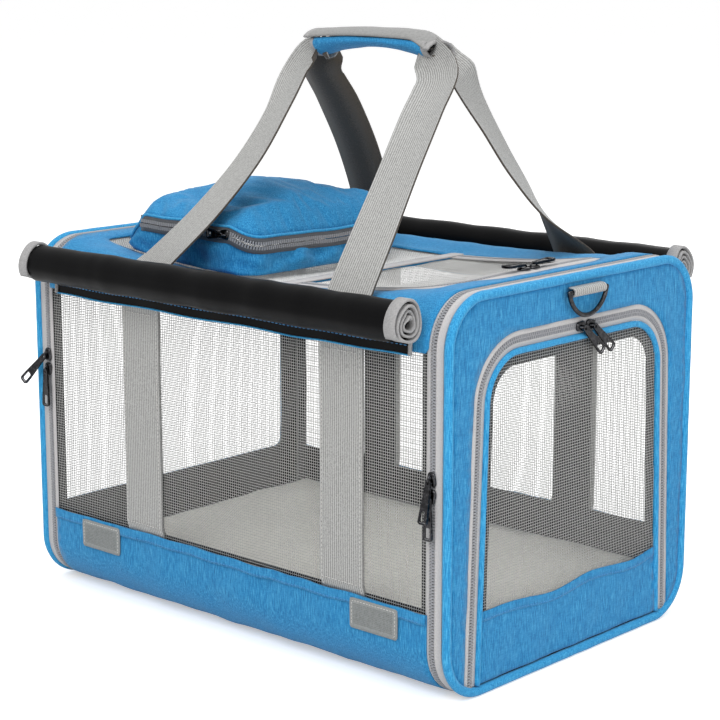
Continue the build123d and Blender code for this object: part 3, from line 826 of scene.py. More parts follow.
def side_walls():
    """Net walls and the dark binding inside their edges."""
    for side, name in SIDE_NAME.items():
        def place(x, z, lift=0.0):
            slack = (1 - (x / BODY_X) ** 2) * math.sin(math.pi * (z - 70) / 222)
            bow = -1.5 * slack + wobble(x, z, side, 60, 0.5) * slack
            return np.array((x, side * (NET_Y - 0.6 + bow + lift), z))
        outline = [(-BODY_X - 3, BAND_TOP - 5), (BODY_X + 3, BAND_TOP - 5), (BODY_X + 3, SIDE_TOP + 4),
                   (-BODY_X - 3, SIDE_TOP + 4)]
        swap = ("side_mesh",) if side < 0 else ()
        net(f"{name}_wall_net", outline, [], place, "shell", replaces=swap)
        def inner(x, z):
            return np.array((x, side * (NET_Y - 3.2), z))
        for end, x0, x1 in (("left", -BODY_X - 1, -BODY_X + 9), ("right", BODY_X - 9, BODY_X + 1)):
            strip = [(x0, BAND_TOP - 10), (x1, BAND_TOP - 10), (x1, SIDE_TOP + 10), (x0, SIDE_TOP + 10)]
            sheet(f"{name}_{end}_inner_binding", strip, [], 9, inner, LINING, "shell", 0.8)
        strip = [(-BODY_X, BAND_TOP - 8), (BODY_X, BAND_TOP - 8), (BODY_X, BAND_TOP + 2), (-BODY_X, BAND_TOP + 2)]
        sheet(f"{name}_low_inner_binding", strip, [], 9, inner, LINING, "shell", 0.8)


RIBS = 20
RIB = 0.32


def ribbon(name, points, ups, width, material, body, thickness=1.8, ribs=RIBS, replaces=()):
    """Ribbed webbing along a path; width may be a number or one number per point."""
    widths = np.broadcast_to(width, (len(points),))
    shapes = [flat_profile(w, thickness, ribs, RIB) for w in widths]
    item = sweep(name, points, ups, shapes, material, body, replaces=replaces)
    add_strip_uv(item, len(shapes[0]))
    return item


def side_straps():
    """Webbing sewn up the walls, with lock stitches along both edges."""
    for side, places in STRAPS.items():
        for number, x in enumerate(places, 1):
            name = f"{SIDE_NAME[side]}_strap_{number}"
            zs = np.linspace(STRAP_LOW[2] - 3, STRAP_HIGH[2] + 3, 40)
            tuck = [3.0 * (1 - smooth_step((z - BAND_TOP + 1) / 10)) for z in zs]
            points = np.array([(x, side * (NET_Y + 2.2 - t + wobble(x, z, 3, 50, 0.6)), z) for z, t in zip(zs, tuck)])
            ups = np.tile((0, side, 0), (len(zs), 1))
            swap = ("side_webbing",) if side < 0 and number == 1 else ()
            ribbon(name, points, ups, STRAP_W, WEB, "shell", replaces=swap)
            # Dark lining sheet just inside the net behind each strap: painted shade standing for the strap's shaded
            # back seen through the net.
            back = points - ups * 3.6
            sweep(name + "_painted_shade_back", back, ups, flat_profile(STRAP_W - 6, 1.0), LINING, "shell")
            for edge in (-1, 1):
                line = points + np.array((edge * (STRAP_W / 2 - 2.4), side * 1.3, 0))
                dashes(f"{name}_stitch_{'ab'[edge > 0]}", line, ups, 2.4, 1.3, 0.4, THREAD_GREY, "shell")
            for row, z in (("low", BAND_TOP + 9), ("high", SIDE_TOP - 9)):
                us = np.linspace(-STRAP_W / 2 + 2.4, STRAP_W / 2 - 2.4, 30)
                line = np.array([(x + u, side * (NET_Y + 3.6 + wobble(x, z, 3, 50, 0.6)), z) for u in us])
                dashes(f"{name}_stitch_{row}", line, np.tile((0, side, 0), (30, 1)), 2.4, 1.3, 0.4, THREAD_GREY,
                       "shell")


def hook_patches():
    """Hook patches on the band, each with a stitched border and rows of hooks."""
    low, high = box_mm("band_patches")
    for side, name in SIDE_NAME.items():
        for number, x in enumerate((low[0] + 26, high[0] - 26), 1):
            z0, z1 = low[2], high[2]
            swap = ("band_patches",) if side < 0 and number == 1 else ()

            def place(u, v):
                ruck = wobble(u, v, side, 20, 0.4)
                return np.array((x + u, side * (HALF_Y + 1.5 + ruck), v))
            outline = rounded_rect(-26, 26, z0, z1, 1.5, 2)
            sheet(f"{name}_patch_{number}", outline, [], 2.6, place, PATCH, "shell", 1.0, swap)
            border = resample(np.array([place(u, v) for u, v in rounded_rect(-23.8, 23.8, z0 + 2.2, z1 - 2.2, 1, 2)
                                        + [(-23.8 + 1, z0 + 2.2)]]), 1.0)
            border[:, 1] += side * 0.1
            dashes(f"{name}_patch_{number}_stitches", border, np.tile((0, side, 0), (len(border), 1)), 2.2, 1.0,
                   0.34, THREAD_GREY, "shell")
            verts, faces = [], []
            for u in np.arange(-21.5, 22, 1.5):
                for v in np.arange(z0 + 4.5, z1 - 4, 1.5):
                    spot = place(u, v) + np.array((0.3 * wobble(u, v, 1, 2, 1), 0, 0))
                    base = len(verts)
                    for du, dv, out in ((-0.5, -0.5, 0), (0.5, -0.5, 0), (0.5, 0.5, 0), (-0.5, 0.5, 0), (0.15, 0.3, 0.5)):
                        verts.append(spot + np.array((du, side * out, dv)))
                    for k in range(4):
                        faces.append((base + k, base + (k + 1) % 4, base + 4))
            piece(f"{name}_patch_{number}_hooks", verts, faces, HOOKS, "shell", smooth=False)


# ---------------------------------------------------------------- roof: door net, fixed net and zip
def roof_drape(x0, x1, half, drop, z):
    """Maps (x, y) onto the roof, sagging between its edges."""
    def place(x, y, lift=0.0):
        t = (2 * x - x0 - x1) / (x1 - x0)
        hang = max(0.0, 1 - t * t) * max(0.0, 1 - (y / half) ** 2)
        return np.array((x, y, z + lift - roof_sag(x, y) - drop * hang + wobble(x, y, 0, 50, 1.5) * hang))
    return place


def roof_parts():
    """Roof door of net with its zip, and the fixed net under the pocket."""
    tape = 10.0
    outline = [(ROOF_HINGE - 4, -ROOF_HALF + tape)] + roof_outline(tape + 2) + [(ROOF_HINGE - 4, ROOF_HALF - tape)]
    drape = roof_drape(ROOF_HINGE, ROOF_END - tape, ROOF_HALF - tape, 9.0, HEIGHT - 2.6)
    net("roof_door_net", outline, [], drape, "top_door", replaces=("top_door_mesh",), yarn=ROOF_NET)
    x0, x1 = FIXED_LOW[0], FIXED_HIGH[0]
    drape = roof_drape(x0, x1, ROOF_HALF + 6, 5.0, HEIGHT - 3.4)
    net("roof_fixed_net", rounded_rect(x0, x1, -ROOF_HALF - 5, ROOF_HALF + 5, 4, 3), [], drape, "shell",
        replaces=("top_fixed_mesh",), yarn=ROOF_NET)
    strip = [(x1 - 9, -ROOF_HALF), (ROOF_HINGE + 2, -ROOF_HALF), (ROOF_HINGE + 2, ROOF_HALF), (x1 - 9, ROOF_HALF)]
    sheet("roof_hinge_tape", strip, [], 5, lambda x, y: (x, y, HEIGHT + 0.5 - roof_sag(x, y)), TAPE, "shell",
          1.2, centre=(0, 0, 0))
    path = resample(np.array([(x, y, HEIGHT - 0.9) for x, y in roof_outline(tape)]), 3.0)
    path[:, 2] -= [roof_sag(x, y) for x, y, _ in path]
    normals = np.tile((0, 0, 1.0), (len(path), 1))
    zip_half("roof_frame_zip_half", path, normals, 1, "shell", tape, ("top_frame_zip",))
    zip_half("roof_door_zip_half", path, normals, -1, "top_door", tape, ("top_door_zip",))


# ---------------------------------------------------------------- rolled shades
def shade_rolls():
    """Rolled shades: black cloth with bound spiral ends, over a short hanging hem."""
    length = ROLL_HIGH[0]
    bound = 11.0
    for side, name in SIDE_NAME.items():
        body = f"{name}_shade"
        verts, faces = [], []
        xs = np.linspace(-length + bound, length - bound, 120)
        count = 40
        for x in xs:
            for k in range(count):
                a = 2 * math.pi * k / count
                size = ROLL_R - 0.3 + 0.7 * math.cos(2 * a + 0.4) + wobble(x, 5 * math.cos(a), 5 * math.sin(a), 34, 1.1)
                size += wobble(x, 9 * math.cos(a), 9 * math.sin(a), 14, 0.3)
                step = 1.2 * (a / (2 * math.pi)) - 0.6
                verts.append((x, side * (ROLL_Y - ROLL_TUCK + 0.9 * (size + step) * math.cos(a)),
                              ROLL_Z + (size + step) * math.sin(a) * 1.03))
        rows = len(xs)
        for i in range(rows - 1):
            for k in range(count):
                m = (k + 1) % count
                faces.append((i * count + k, (i + 1) * count + k, (i + 1) * count + m, i * count + m))
        faces.append(tuple(range(count)))
        faces.append(tuple((rows - 1) * count + k for k in reversed(range(count))))
        if side > 0:
            faces = [f[::-1] for f in faces]
        mesh_piece(f"{name}_roll_cloth", verts, faces, BLACK, body, (f"{name}_shade_roll",))
        for end in (-1, 1):
            spiral_end(f"{name}_roll_end_{'ab'[end > 0]}", side, end, length, bound, body)
        shade_hem(name, side, length)


def mesh_piece(name, verts, faces, material, body, replaces=(), smooth=True):
    """Piece from faces of mixed size."""
    mesh = bpy.data.meshes.new(name)
    mesh.from_pydata([tuple(c * MM for c in v) for v in verts], [], [tuple(f) for f in faces])
    mesh.update()
    item = bpy.data.objects.new(name, mesh)
    bpy.context.scene.collection.objects.link(item)
    mesh.materials.append(material)
    mesh.polygons.foreach_set("use_smooth", [smooth] * len(mesh.polygons))
    tidy = bmesh.new()
    tidy.from_mesh(mesh)
    bmesh.ops.recalc_face_normals(tidy, faces=tidy.faces)
    tidy.to_mesh(mesh)
    tidy.free()
    if body:
        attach(item, body)
    if replaces:
        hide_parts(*replaces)
    return item


def spiral_end(name, side, end, length, bound, body):
    """Bound end of a rolled shade: a spiral strip of folded binding."""
    turns = 3.5
    thick = 2.2
    verts, faces = [], []
    steps = 150
    for k in range(steps + 1):
        t = k / steps
        a = 2 * math.pi * turns * t - 0.6
        r = ROLL_R + 1.4 - (ROLL_R - 2.6) * t
        squash = 1 - 0.15 * math.sin(a + 0.8) * t + (0.03 + 0.1 * t) * math.cos(3 * a + 1.2)
        wave = wobble(3 * math.cos(a), 3 * math.sin(a), r, 5, 2.0, side * 3.0)
        x1 = end * (length + 0.3 + wave)
        x0 = end * (length - bound)
        for x, dr in ((x0, -thick / 2), (x1 - end * 0.9, -thick / 2), (x1, -thick / 4), (x1, thick / 4),
                      (x1 - end * 0.9, thick / 2), (x0, thick / 2)):
            q = (r + dr) * squash
            verts.append((x, side * (ROLL_Y - ROLL_TUCK + 0.92 * q * math.cos(a)), ROLL_Z + q * math.sin(a) * 1.03))
    for k in range(steps):
        for m in range(6):
            faces.append((k * 6 + m, k * 6 + (m + 1) % 6, k * 6 + 6 + (m + 1) % 6, k * 6 + 6 + m))
    faces.append(tuple(range(6)))
    faces.append(tuple(steps * 6 + k for k in reversed(range(6))))
    mesh_piece(name, verts, faces, BINDING, body)


def shade_hem(name, side, length):
    """Sheet between the case and its roll, with a blue edge cord, a stitch row and bound curls at its ends."""
    def place(x, z, lift=0.0):
        hang = (306 - z) / 20
        out = (0.6 + wobble(x, 0, side, 40, 1.2)) * hang
        return np.array((x, side * (HALF_Y + 1.9 + max(0, out) + lift), z + wobble(x, 0, 7, 60, 1.5) * hang))
    start, end = (0, side * 0.171, 0.306), (0, side * 0.171, 0.288)
    zs = np.linspace(306, 285, 22)
    xs = np.linspace(-length + 13, length - 13, 90)
    verts = [place(x, z) for z in zs for x in xs]
    n = len(xs)
    faces = [(i * n + k, i * n + k + 1, (i + 1) * n + k + 1, (i + 1) * n + k)
             for i in range(len(zs) - 1) for k in range(n - 1)]
    item = mesh_piece(f"{name}_shade_sheet_cloth", verts, faces, BLACK, None,
                      (f"{name}_shade_sheet",))
    face_out(item, (0, 0, 165))
    apply_solid(item, 0.9)
    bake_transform(item)
    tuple(start)
    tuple(end)
    ups = np.tile((0, side, 0), (n, 1))
    sweep(f"{name}_shade_edge", [place(x, 285, 0.2) for x in xs], ups, circle(0.8, 8), BLUE_TRIM, f"{name}_shade")
    dashes(f"{name}_shade_stitches", np.array([place(x, 293, 0.7) for x in xs]), ups, 3.0, 1.6, 0.45, THREAD_BLUE,
           f"{name}_shade")
    for tag, x in (("a", xs[0]), ("b", xs[-1])):
        curl = sweep(f"{name}_shade_curl_{tag}", [place(x, z, 0.4) for z in zs], np.tile((0, side, 0), (len(zs), 1)),
                     circle(1.7, 8), BINDING, None)
        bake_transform(curl)
        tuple(start)
        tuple(end)


def apply_solid(item, thickness):
    """Makes a sheet's thickness part of its mesh."""
    thicken(item, thickness)
    bpy.context.view_layer.update()
    graph = bpy.context.evaluated_depsgraph_get()
    made = bpy.data.meshes.new_from_object(item.evaluated_get(graph))
    item.modifiers.clear()
    item.data = made
    return item


band_cloth()
top_cloth()
end_trims()
right_end()
left_end()
side_walls()
side_straps()
hook_patches()
roof_parts()
shade_rolls()


# ---------------------------------------------------------------- carrying handles
LOOP_Y, LOOP_Z = 161.5, 321.0
BAR_Y, BAR_Z = 6.0, 505.0
GRIP_X0, GRIP_X1 = GRIP_LOW[0], GRIP_HIGH[0]


def smooth_path(knots, step):
    """Smooth curve through knots (Catmull-Rom), each knot a row of any width."""
    knots = np.asarray(knots, float)
    padded = np.vstack([2 * knots[0] - knots[1], knots, 2 * knots[-1] - knots[-2]])
    rows = []
    for a, b, c, d in zip(padded, padded[1:], padded[2:], padded[3:]):
        count = max(2, int(np.linalg.norm((c - b)[:3]) / step))
        for t in np.linspace(0, 1, count, endpoint=False):
            rows.append(0.5 * (2 * b + (c - a) * t + (2 * a - 5 * b + 4 * c - d) * t * t
                               + (3 * b - a - 3 * c + d) * t ** 3))
    rows.append(knots[-1])
    return np.array(rows)


def handle_leg(name, side, base_x, end, twists, widths, lean=0.0, shift=0.0, bulge=5.0):
    """One leg of a carrying loop: flat up the shoulder, then leaning in and turning into the grip."""
    into = GRIP_X0 + 16 if end < 0 else GRIP_X1 - 16
    corner = GRIP_X0 - 14 if end < 0 else GRIP_X1 + 14
    shoulder = [around(side * girth_at(z), -0.6)[0] for z in (288, 297, 306)]
    # rows: x, y, z, width, twist in degrees, curl
    knots = [(base_x, p[1], p[2], STRAP_W, 0, 0) for p in shoulder]
    for t, twist, width in zip((0.0, 0.25, 0.5, 0.75, 0.93), twists, widths):
        y = LOOP_Y + (BAR_Y - LOOP_Y) * t
        z = LOOP_Z + (BAR_Z - 4 - LOOP_Z) * t
        x = base_x + (corner - base_x) * t + lean * math.sin(math.pi * t) + shift * (1 - t)
        bow = bulge * math.sin(math.pi * t)
        knots.append((x, side * (y + bow), z + 0.5 * bow, width, twist, 6 * t ** 2))
    knots.append(((corner + into) / 2 - end * 2, side * (BAR_Y + 2), BAR_Z + 3, 0.72 * widths[-1], twists[-1], 7))
    knots.append((into, side * BAR_Y, BAR_Z + 4, 16, twists[-1], 5))
    rows = smooth_path(knots, 5.0)
    points = rows[:, :3]
    tangents = np.gradient(points, axis=0)
    tangents /= np.linalg.norm(tangents, axis=1)[:, None]
    shapes, ups = [], []
    along = np.array((1.0, 0, 0))
    for tangent, row in zip(tangents, rows):
        wide = along - (along @ tangent) * tangent
        if np.linalg.norm(wide) < 0.3:
            wide = wide + np.array((0, 0, -end * 0.6)) * (1 - np.linalg.norm(wide))
            wide -= (wide @ tangent) * tangent
        wide /= np.linalg.norm(wide)
        up = -side * np.cross(wide, tangent)
        turn = math.radians(row[4])
        ups.append(math.cos(turn) * up + math.sin(turn) * wide)
        flat = np.array(flat_profile(row[3], 1.8, RIBS, RIB))
        u = flat[:, 0] / (row[3] / 2)
        flat[:, 1] += row[5] * (u * u - 0.4)
        shapes.append(flat)
    ups = np.array(ups)
    if ups[0] @ np.array((0, side, 0)) < 0:
        ups = -ups
    item = sweep(name, points, ups, shapes, WEB, None)
    # The leg's inner (back) faces take the darker webbing copy: painted shade on the side turned from the light.
    item.data.materials.append(WEB_BACK_SHADE)
    ring = len(shapes[0])
    for face in item.data.polygons[:(len(points) - 1) * ring]:
        if face.index % ring >= 3 * RIBS:
            face.material_index = 1
    add_strip_uv(item, ring)
    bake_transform(item)
    return item


def handles():
    """Both carrying loops and the padded grip."""
    leg = handle_leg("front_left_leg", -1, -105.0, -1, (-8, -11, -14, -17, -10), (48, 47, 46, 44, 40),
                     22, 8, -1.0)
    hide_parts("front_handle_strap")
    handle_leg("front_right_leg", -1, 140.0, 1, (0, -2, -6, -5, -4), (48, 48, 48, 47, 44), 4)
    leg = handle_leg("rear_left_leg", 1, -118.0, -1, (0, -3, -7, -8, -6), (48, 48, 47, 46, 43), 7)
    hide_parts("rear_handle_strap")
    handle_leg("rear_right_leg", 1, 127.0, 1, (0, 40, 53, 60, 76), (48, 48, 47, 46, 42), -10, bulge=0.0)
    grip_cover("grip_padding", 150, 334, 12.4, 3.0, BLUE, "front_loop", "grip_pad", -3.0, 11.0)
    grip_cover("grip_wrap_flap", -20, 158, 16.4, 1.6, GRIP_CLOTH, "rear_loop", "grip_flap", 2.0, 3.0)


def grip_cover(name, first, last, inner, thick, material, body, node, reach, bow):
    """Padded sheet curved round the two bars between two angles, bowed along its length and bound at its ends."""
    x0, x1 = GRIP_X0 - reach, GRIP_X1 + reach
    outline = rounded_rect(x0, x1, first, last, 5, 5)

    def place(x, a):
        angle = math.radians(a)
        t = 2 * (x - x0) / (x1 - x0) - 1
        edge = min(1.0, (x - x0) / 8, (x1 - x) / 8, (a - first) / 12, (last - a) / 12)
        puff = (1 - (1 - max(0, edge)) ** 2) * thick
        r = inner + puff + wobble(x, a * 0.3, 0, 30, 0.9, inner) + wobble(x, a * 0.3, 4, 12, 0.3)
        droop = 7 * smooth_step((t - 0.72) / 0.3) if first < 0 else 0.0
        below = max(0.0, -math.sin(angle))
        lift = 3.0 + (bow - 3.0) * below + 10.0 - droop
        return np.array((x, r * math.cos(angle) * 1.15,
                         BAR_Z + r * math.sin(angle) * (0.66 + 0.24 * below) + lift - (3.0 + (bow - 3.0) * below) * t * t))
    flat, faces = fill(outline, [], 3.4)
    verts = [place(u, v) for u, v in flat]
    item = piece(name, verts, faces, material, body, (node,), lining=LINING)
    face_out(item, (26, 0, BAR_Z))
    thicken(item, 1.6, True)
    for end, x in (("a", x0 + 1.5), ("b", x1 - 1.5)):
        rim = np.array([place(x, a) for a in np.linspace(first + 2, last - 2, 30)])
        ups = rim - np.array((0, 0, BAR_Z + 5))
        ups[:, 0] = 0
        sweep(f"{name}_binding_{end}", rim, ups, [(-3, -1.6), (3, -1.6), (3.2, 0.2), (1.5, 0.8), (-1.5, 0.8), (-3.2, 0.2)],
              BINDING, body)


# ---------------------------------------------------------------- pocket, floor pad
def swell(item, held, pressure, cap, grow=0.0, frames=20, stiffness=5.0):
    """Puffs a sheet by a short cloth simulation: held vertices stay, and cap limits every move."""
    mesh = item.data
    rest = np.array([v.co for v in mesh.vertices])
    group = item.vertex_groups.new(name="held")
    group.add([int(k) for k in held], 1.0, "REPLACE")
    cloth = item.modifiers.new("swell", "CLOTH")
    settings = cloth.settings
    settings.quality = 6
    settings.mass = 0.2
    settings.tension_stiffness = stiffness
    settings.compression_stiffness = stiffness
    settings.shear_stiffness = stiffness
    settings.bending_stiffness = 0.2
    settings.vertex_group_mass = "held"
    settings.use_pressure = True
    settings.uniform_pressure_force = pressure
    settings.shrink_min = -grow
    settings.effector_weights.gravity = 0
    cloth.collision_settings.use_collision = False
    scene = bpy.context.scene
    for number in range(1, frames + 1):
        scene.frame_set(number)
    made = item.evaluated_get(bpy.context.evaluated_depsgraph_get()).data
    moved = np.array([v.co for v in made.vertices])[:len(rest)] - rest
    item.modifiers.remove(cloth)
    item.vertex_groups.clear()
    scene.frame_set(1)
    far = np.linalg.norm(moved, axis=1)[:, None]
    moved *= np.minimum(1, cap * MM / np.maximum(far, 1e-9))
    mesh.vertices.foreach_set("co", (rest + moved).ravel())
    mesh.update()
    return item


def rim_vertices(item):
    """Vertices on a sheet's open edges."""
    shape = bmesh.new()
    shape.from_mesh(item.data)
    found = sorted({v.index for e in shape.edges if e.is_boundary for v in e.verts})
    shape.free()
    return found


GUSSET = 28.0


def pocket():
    """Roof pocket: creased blue walls down to the hanging roof, zip line and domed lid."""
    x0, x1 = POCKET_LOW[0] + 2, POCKET_HIGH[0]
    near, far = POCKET_LOW[1], POCKET_HIGH[1] - 36
    seam = LID_LOW[2]
    rim = resample(np.array(rounded_rect(x0, x1, near, far, 22, 8)), 4.0, True)
    middle = np.array(((x0 + x1) / 2, (near + far) / 2))
    n = len(rim)
    away = (rim - middle) / np.linalg.norm(rim - middle, axis=1)[:, None]

    def seam_z(x, y):
        low = 0.5 * roof_sag(x, y) * smooth_step((x + 45) / 30)
        full = seam - low + wobble(x, y, 0, 45, 1.6)
        foot = HEIGHT - roof_sag(x, y) + 9
        return full + (foot - full) * smooth_step((x0 + GUSSET - x) / (GUSSET - 4))

    def lid_edge(x, y):
        return seam_z(x, y) - 2.6 + 8.6 * smooth_step((x - x0 - GUSSET + 4) / 10)

    levels = 9
    verts, faces = [], []
    for k in range(levels):
        t = k / (levels - 1)
        for p, d in zip(rim, away):
            low = HEIGHT + 0.6 - roof_sag(*p)
            z = low + (seam_z(*p) - 3.4 - low) * t
            fold = math.sin(math.pi * t) * (1 - 0.75 * t)
            crease = wobble(p[0] + 0.9 * z, p[1], 1.4 * z, 21, 12.0, 2.0) + wobble(p[0], p[1], 2 * z, 11, 3.2, 5.0)
            q = p + d * (fold * (1.2 + crease) - 0.8)
            verts.append((q[0], q[1], z + 0.3 * crease * fold))
    for i in range(levels - 1):
        faces += [(i * n + k, i * n + (k + 1) % n, (i + 1) * n + (k + 1) % n, (i + 1) * n + k) for k in range(n)]
    item = mesh_piece("pocket_wall_cloth", verts, faces, BLUE, "shell", ("pocket_base",))
    thicken(face_out(item, (*middle, seam)), 1.3)
    zipped = rim[:, 0] > x0 + GUSSET
    start = next(k for k in range(n) if zipped[k] and not zipped[k - 1])
    run = np.array([p for p, kept in zip(np.roll(rim, -start, 0), np.roll(zipped, -start)) if kept])
    path = np.array([(x, y, seam_z(x, y) - 1.2) for x, y in run])
    normals = path - np.array((*middle, 0))
    normals[:, 2] = 0
    zip_half("pocket_zip_low", path, normals, 1, "shell", 6.5, ("pocket_zip",), ZIP_DARK)
    path[:, 2] += 1.6
    zip_half("pocket_zip_high", path, normals, -1, "pocket_cover", 6.5, cloth=ZIP_DARK)
    path = np.array([(x, y, lid_edge(x, y) + 1.4) for x, y in rim - 0.4 * away])
    normals = path - np.array((*middle, 0))
    normals[:, 2] = 0
    sweep("pocket_lid_piping", path, normals, circle(1.4, 8), BLUE_TRIM, "pocket_cover",
          closed=True)
    lid_cloth(rim, away, middle, near, far, lid_edge)


def lid_cloth(rim, away, middle, near, far, lid_edge):
    """Domed lid of the pocket: swollen, with slack cloth that creases."""
    top = LID_HIGH[2]
    flat, faces = fill(rim - away * 0.8, [], 4.0)
    half_x = rim[:, 0].max() - middle[0]
    half_y = (far - near) / 2
    verts = []
    for x, y in flat:
        edge_x, edge_y = half_x - abs(x - middle[0]), half_y - abs(y - middle[1])
        edge_x *= 0.62 if x < middle[0] else 1.0
        edge = min(edge_x, edge_y)
        if edge_x < 22 and edge_y < 22:
            edge = 22 - math.hypot(22 - edge_x, 22 - edge_y)
        t = max(0.0, min(1.0, edge / 34))
        base = lid_edge(x, y)
        crown = max(0.0, 1 - ((x - middle[0]) / half_x) ** 2) * max(0.0, 1 - ((y - middle[1]) / half_y) ** 2)
        slope = 0.8 + 0.2 * smooth_step((x - rim[:, 0].min()) / 110)
        rise = slope * (top - 8 - base) * (0.6 * (1 - (1 - t) ** 2.4) + 0.4 * crown)
        ruck = (wobble(x, y, 0, 60, 5, 11) + wobble(x, y, 3, 24, 2.2, 3) + wobble(x, 2 * y, 9, 12, 0.7)) * t
        verts.append((x, y, base + rise + ruck))
    item = piece("pocket_lid_cloth", verts, faces, BLUE, "pocket_cover", ("pocket_lid",),
                 lining=LINING)
    face_out(item, (*middle, LID_LOW[2] - 60))
    swell(item, rim_vertices(item), 1.6, 9.0, grow=0.05)
    thicken(item, 1.4, True)


def floor_mat():
    """Padded floor mat: crowned top, upright edge and a piped seam between them."""
    high = PAD_HIGH[2]

    def room(z):
        """Half-width of the space inside the band at a height."""
        return FLAT + math.sqrt((CORNER_R - 6.5) ** 2 - max(0, CORNER_R - z) ** 2)
    x1, y1 = PAD_HIGH[0], room(high - 7) + 0.5
    outline = rounded_rect(-x1 + 1, x1 - 1, -y1 + 1, y1 - 1, 16, 6)
    flat, faces = fill(outline, [], 8)

    def top(x, y):
        t = max(0.0, min(1.0, (x1 - abs(x)) / 24, (y1 - abs(y)) / 24))
        return high - 7 + 6 * (1 - (1 - t) ** 2.4) + (wobble(x, y, 0, 70, 2.4) + wobble(x, y, 5, 22, 0.6)) * t
    item = piece("floor_mat_top", [(x, y, top(x, y)) for x, y in flat], faces, PAD, "shell",
                 ("floor_pad",))
    face_out(item, (0, 0, -200))
    swell(item, rim_vertices(item), 1.2, 4.0, grow=0.01)
    rim = resample(np.array(outline), 8.0, True)
    n = len(rim)
    levels = np.linspace(high - 7, high - 24, 5)
    verts = [(x, math.copysign(min(abs(y), room(z)), y), z) for z in levels for x, y in rim]
    faces = [(i * n + k, i * n + (k + 1) % n, (i + 1) * n + (k + 1) % n, (i + 1) * n + k)
             for i in range(len(levels) - 1) for k in range(n)]
    face_out(mesh_piece("floor_mat_edge", verts, faces, PAD, "shell"), (0, 0, high - 15))
    path = np.column_stack([rim, np.full(n, high - 7)])
    sweep("floor_mat_piping", path, np.tile((0, 0, 1.0), (n, 1)), circle(1.8, 8), BINDING, "shell",
          closed=True)


# ---------------------------------------------------------------- D-ring loops, sliders and pulls
def ring_loops():
    """Webbing tabs that hold the D-rings."""
    for name, side in (("right", 1), ("left", -1)):
        low, high = box_mm(f"{name}_ring_loop")
        mid = (low + high) / 2
        x_in, x_out = (low[0], high[0]) if side > 0 else (high[0], low[0])
        path = rounded([(x_in + side * 0.8, mid[2] - 3.4), (x_out - side * 1.3, mid[2] - 3.2),
                        (x_out - side * 1.3, mid[2] + 3.2), (x_in + side * 0.8, mid[2] + 3.6)], 2.9, 6)
        points = resample(np.array([(x, mid[1], z) for x, z in path]), 1.2)
        tangents = np.gradient(points, axis=0)
        ups = np.cross(tangents, (0, 1.0, 0))
        if ups[len(ups) // 2][0] * side < 0:
            ups = -ups
        item = sweep(f"{name}_ring_tab", points, ups, flat_profile(high[1] - low[1], 1.1, 16, 0.2), WEB,
                     f"{name}_end", replaces=(f"{name}_ring_loop",))
        add_strip_uv(item, 16 * 3 + 6)


FITTINGS = {"right_upper": (0, -1, 0), "right_lower": (0, -1, 0), "left_upper": (0, -1, 0),
            "left_lower": (0, -1, 0), "door_front": (1, 0, 0), "door_rear": (1, 0, 0),
            "roof_front": (0, 0, 1), "roof_rear": (0, 0, 1)}


def placed(origin, along, out, points):
    """Points given as (along, across, out) laid in space."""
    along, out = np.array(along, float), np.array(out, float)
    along /= np.linalg.norm(along)
    out -= (out @ along) * along
    out /= np.linalg.norm(out)
    across = np.cross(out, along)
    points = np.asarray(points, float)
    return origin + points[:, :1] * along + points[:, 1:2] * across + points[:, 2:] * out


def slider_piece(name, spot, out, travel, body, replaces):
    """Zip slider: a domed wedge with rounded shoulders, a neck and an arched bridge."""
    rings, count = 6, 28
    points, faces = [], []
    for k in range(rings + 1):
        t = k / rings
        shrink = math.cos(t * math.pi / 2) ** 0.45 if t < 1 else 0.0
        height = 0.3 + 1.9 * math.sin(t * math.pi / 2)
        for m in range(count):
            a = 2 * math.pi * m / count
            c, d = math.cos(a), math.sin(a)
            u = 6.2 * math.copysign(abs(c) ** 0.6, c)
            v = 4.9 * math.copysign(abs(d) ** 0.6, d) * (1 - 0.2 * smooth_step((u - 0.5) / 5))
            waist = 1 - 0.16 * math.exp(-((u - 1.5) / 1.6) ** 2)
            points.append((u * (0.25 + 0.75 * shrink), v * waist * (0.2 + 0.8 * shrink), height))
    for k in range(rings):
        faces += [(k * count + m, k * count + (m + 1) % count, (k + 1) * count + (m + 1) % count,
                   (k + 1) * count + m) for m in range(count)]
    faces.append(tuple(rings * count + m for m in range(count)))
    faces.append(tuple(reversed(range(count))))
    mesh_piece(name, placed(spot, travel, out, points), faces, GUNMETAL, body, replaces)
    arch_points = [(-4.2 + 8.4 * k / 12, 0, 1.9 + 2.9 * math.sin(math.pi * k / 12) ** 0.6) for k in range(13)]
    path = placed(spot, travel, out, arch_points)
    across = np.cross(out, travel)
    sweep(name + "_bridge", path, np.tile(across, (len(path), 1)), circle(0.85, 8), GUNMETAL, body)


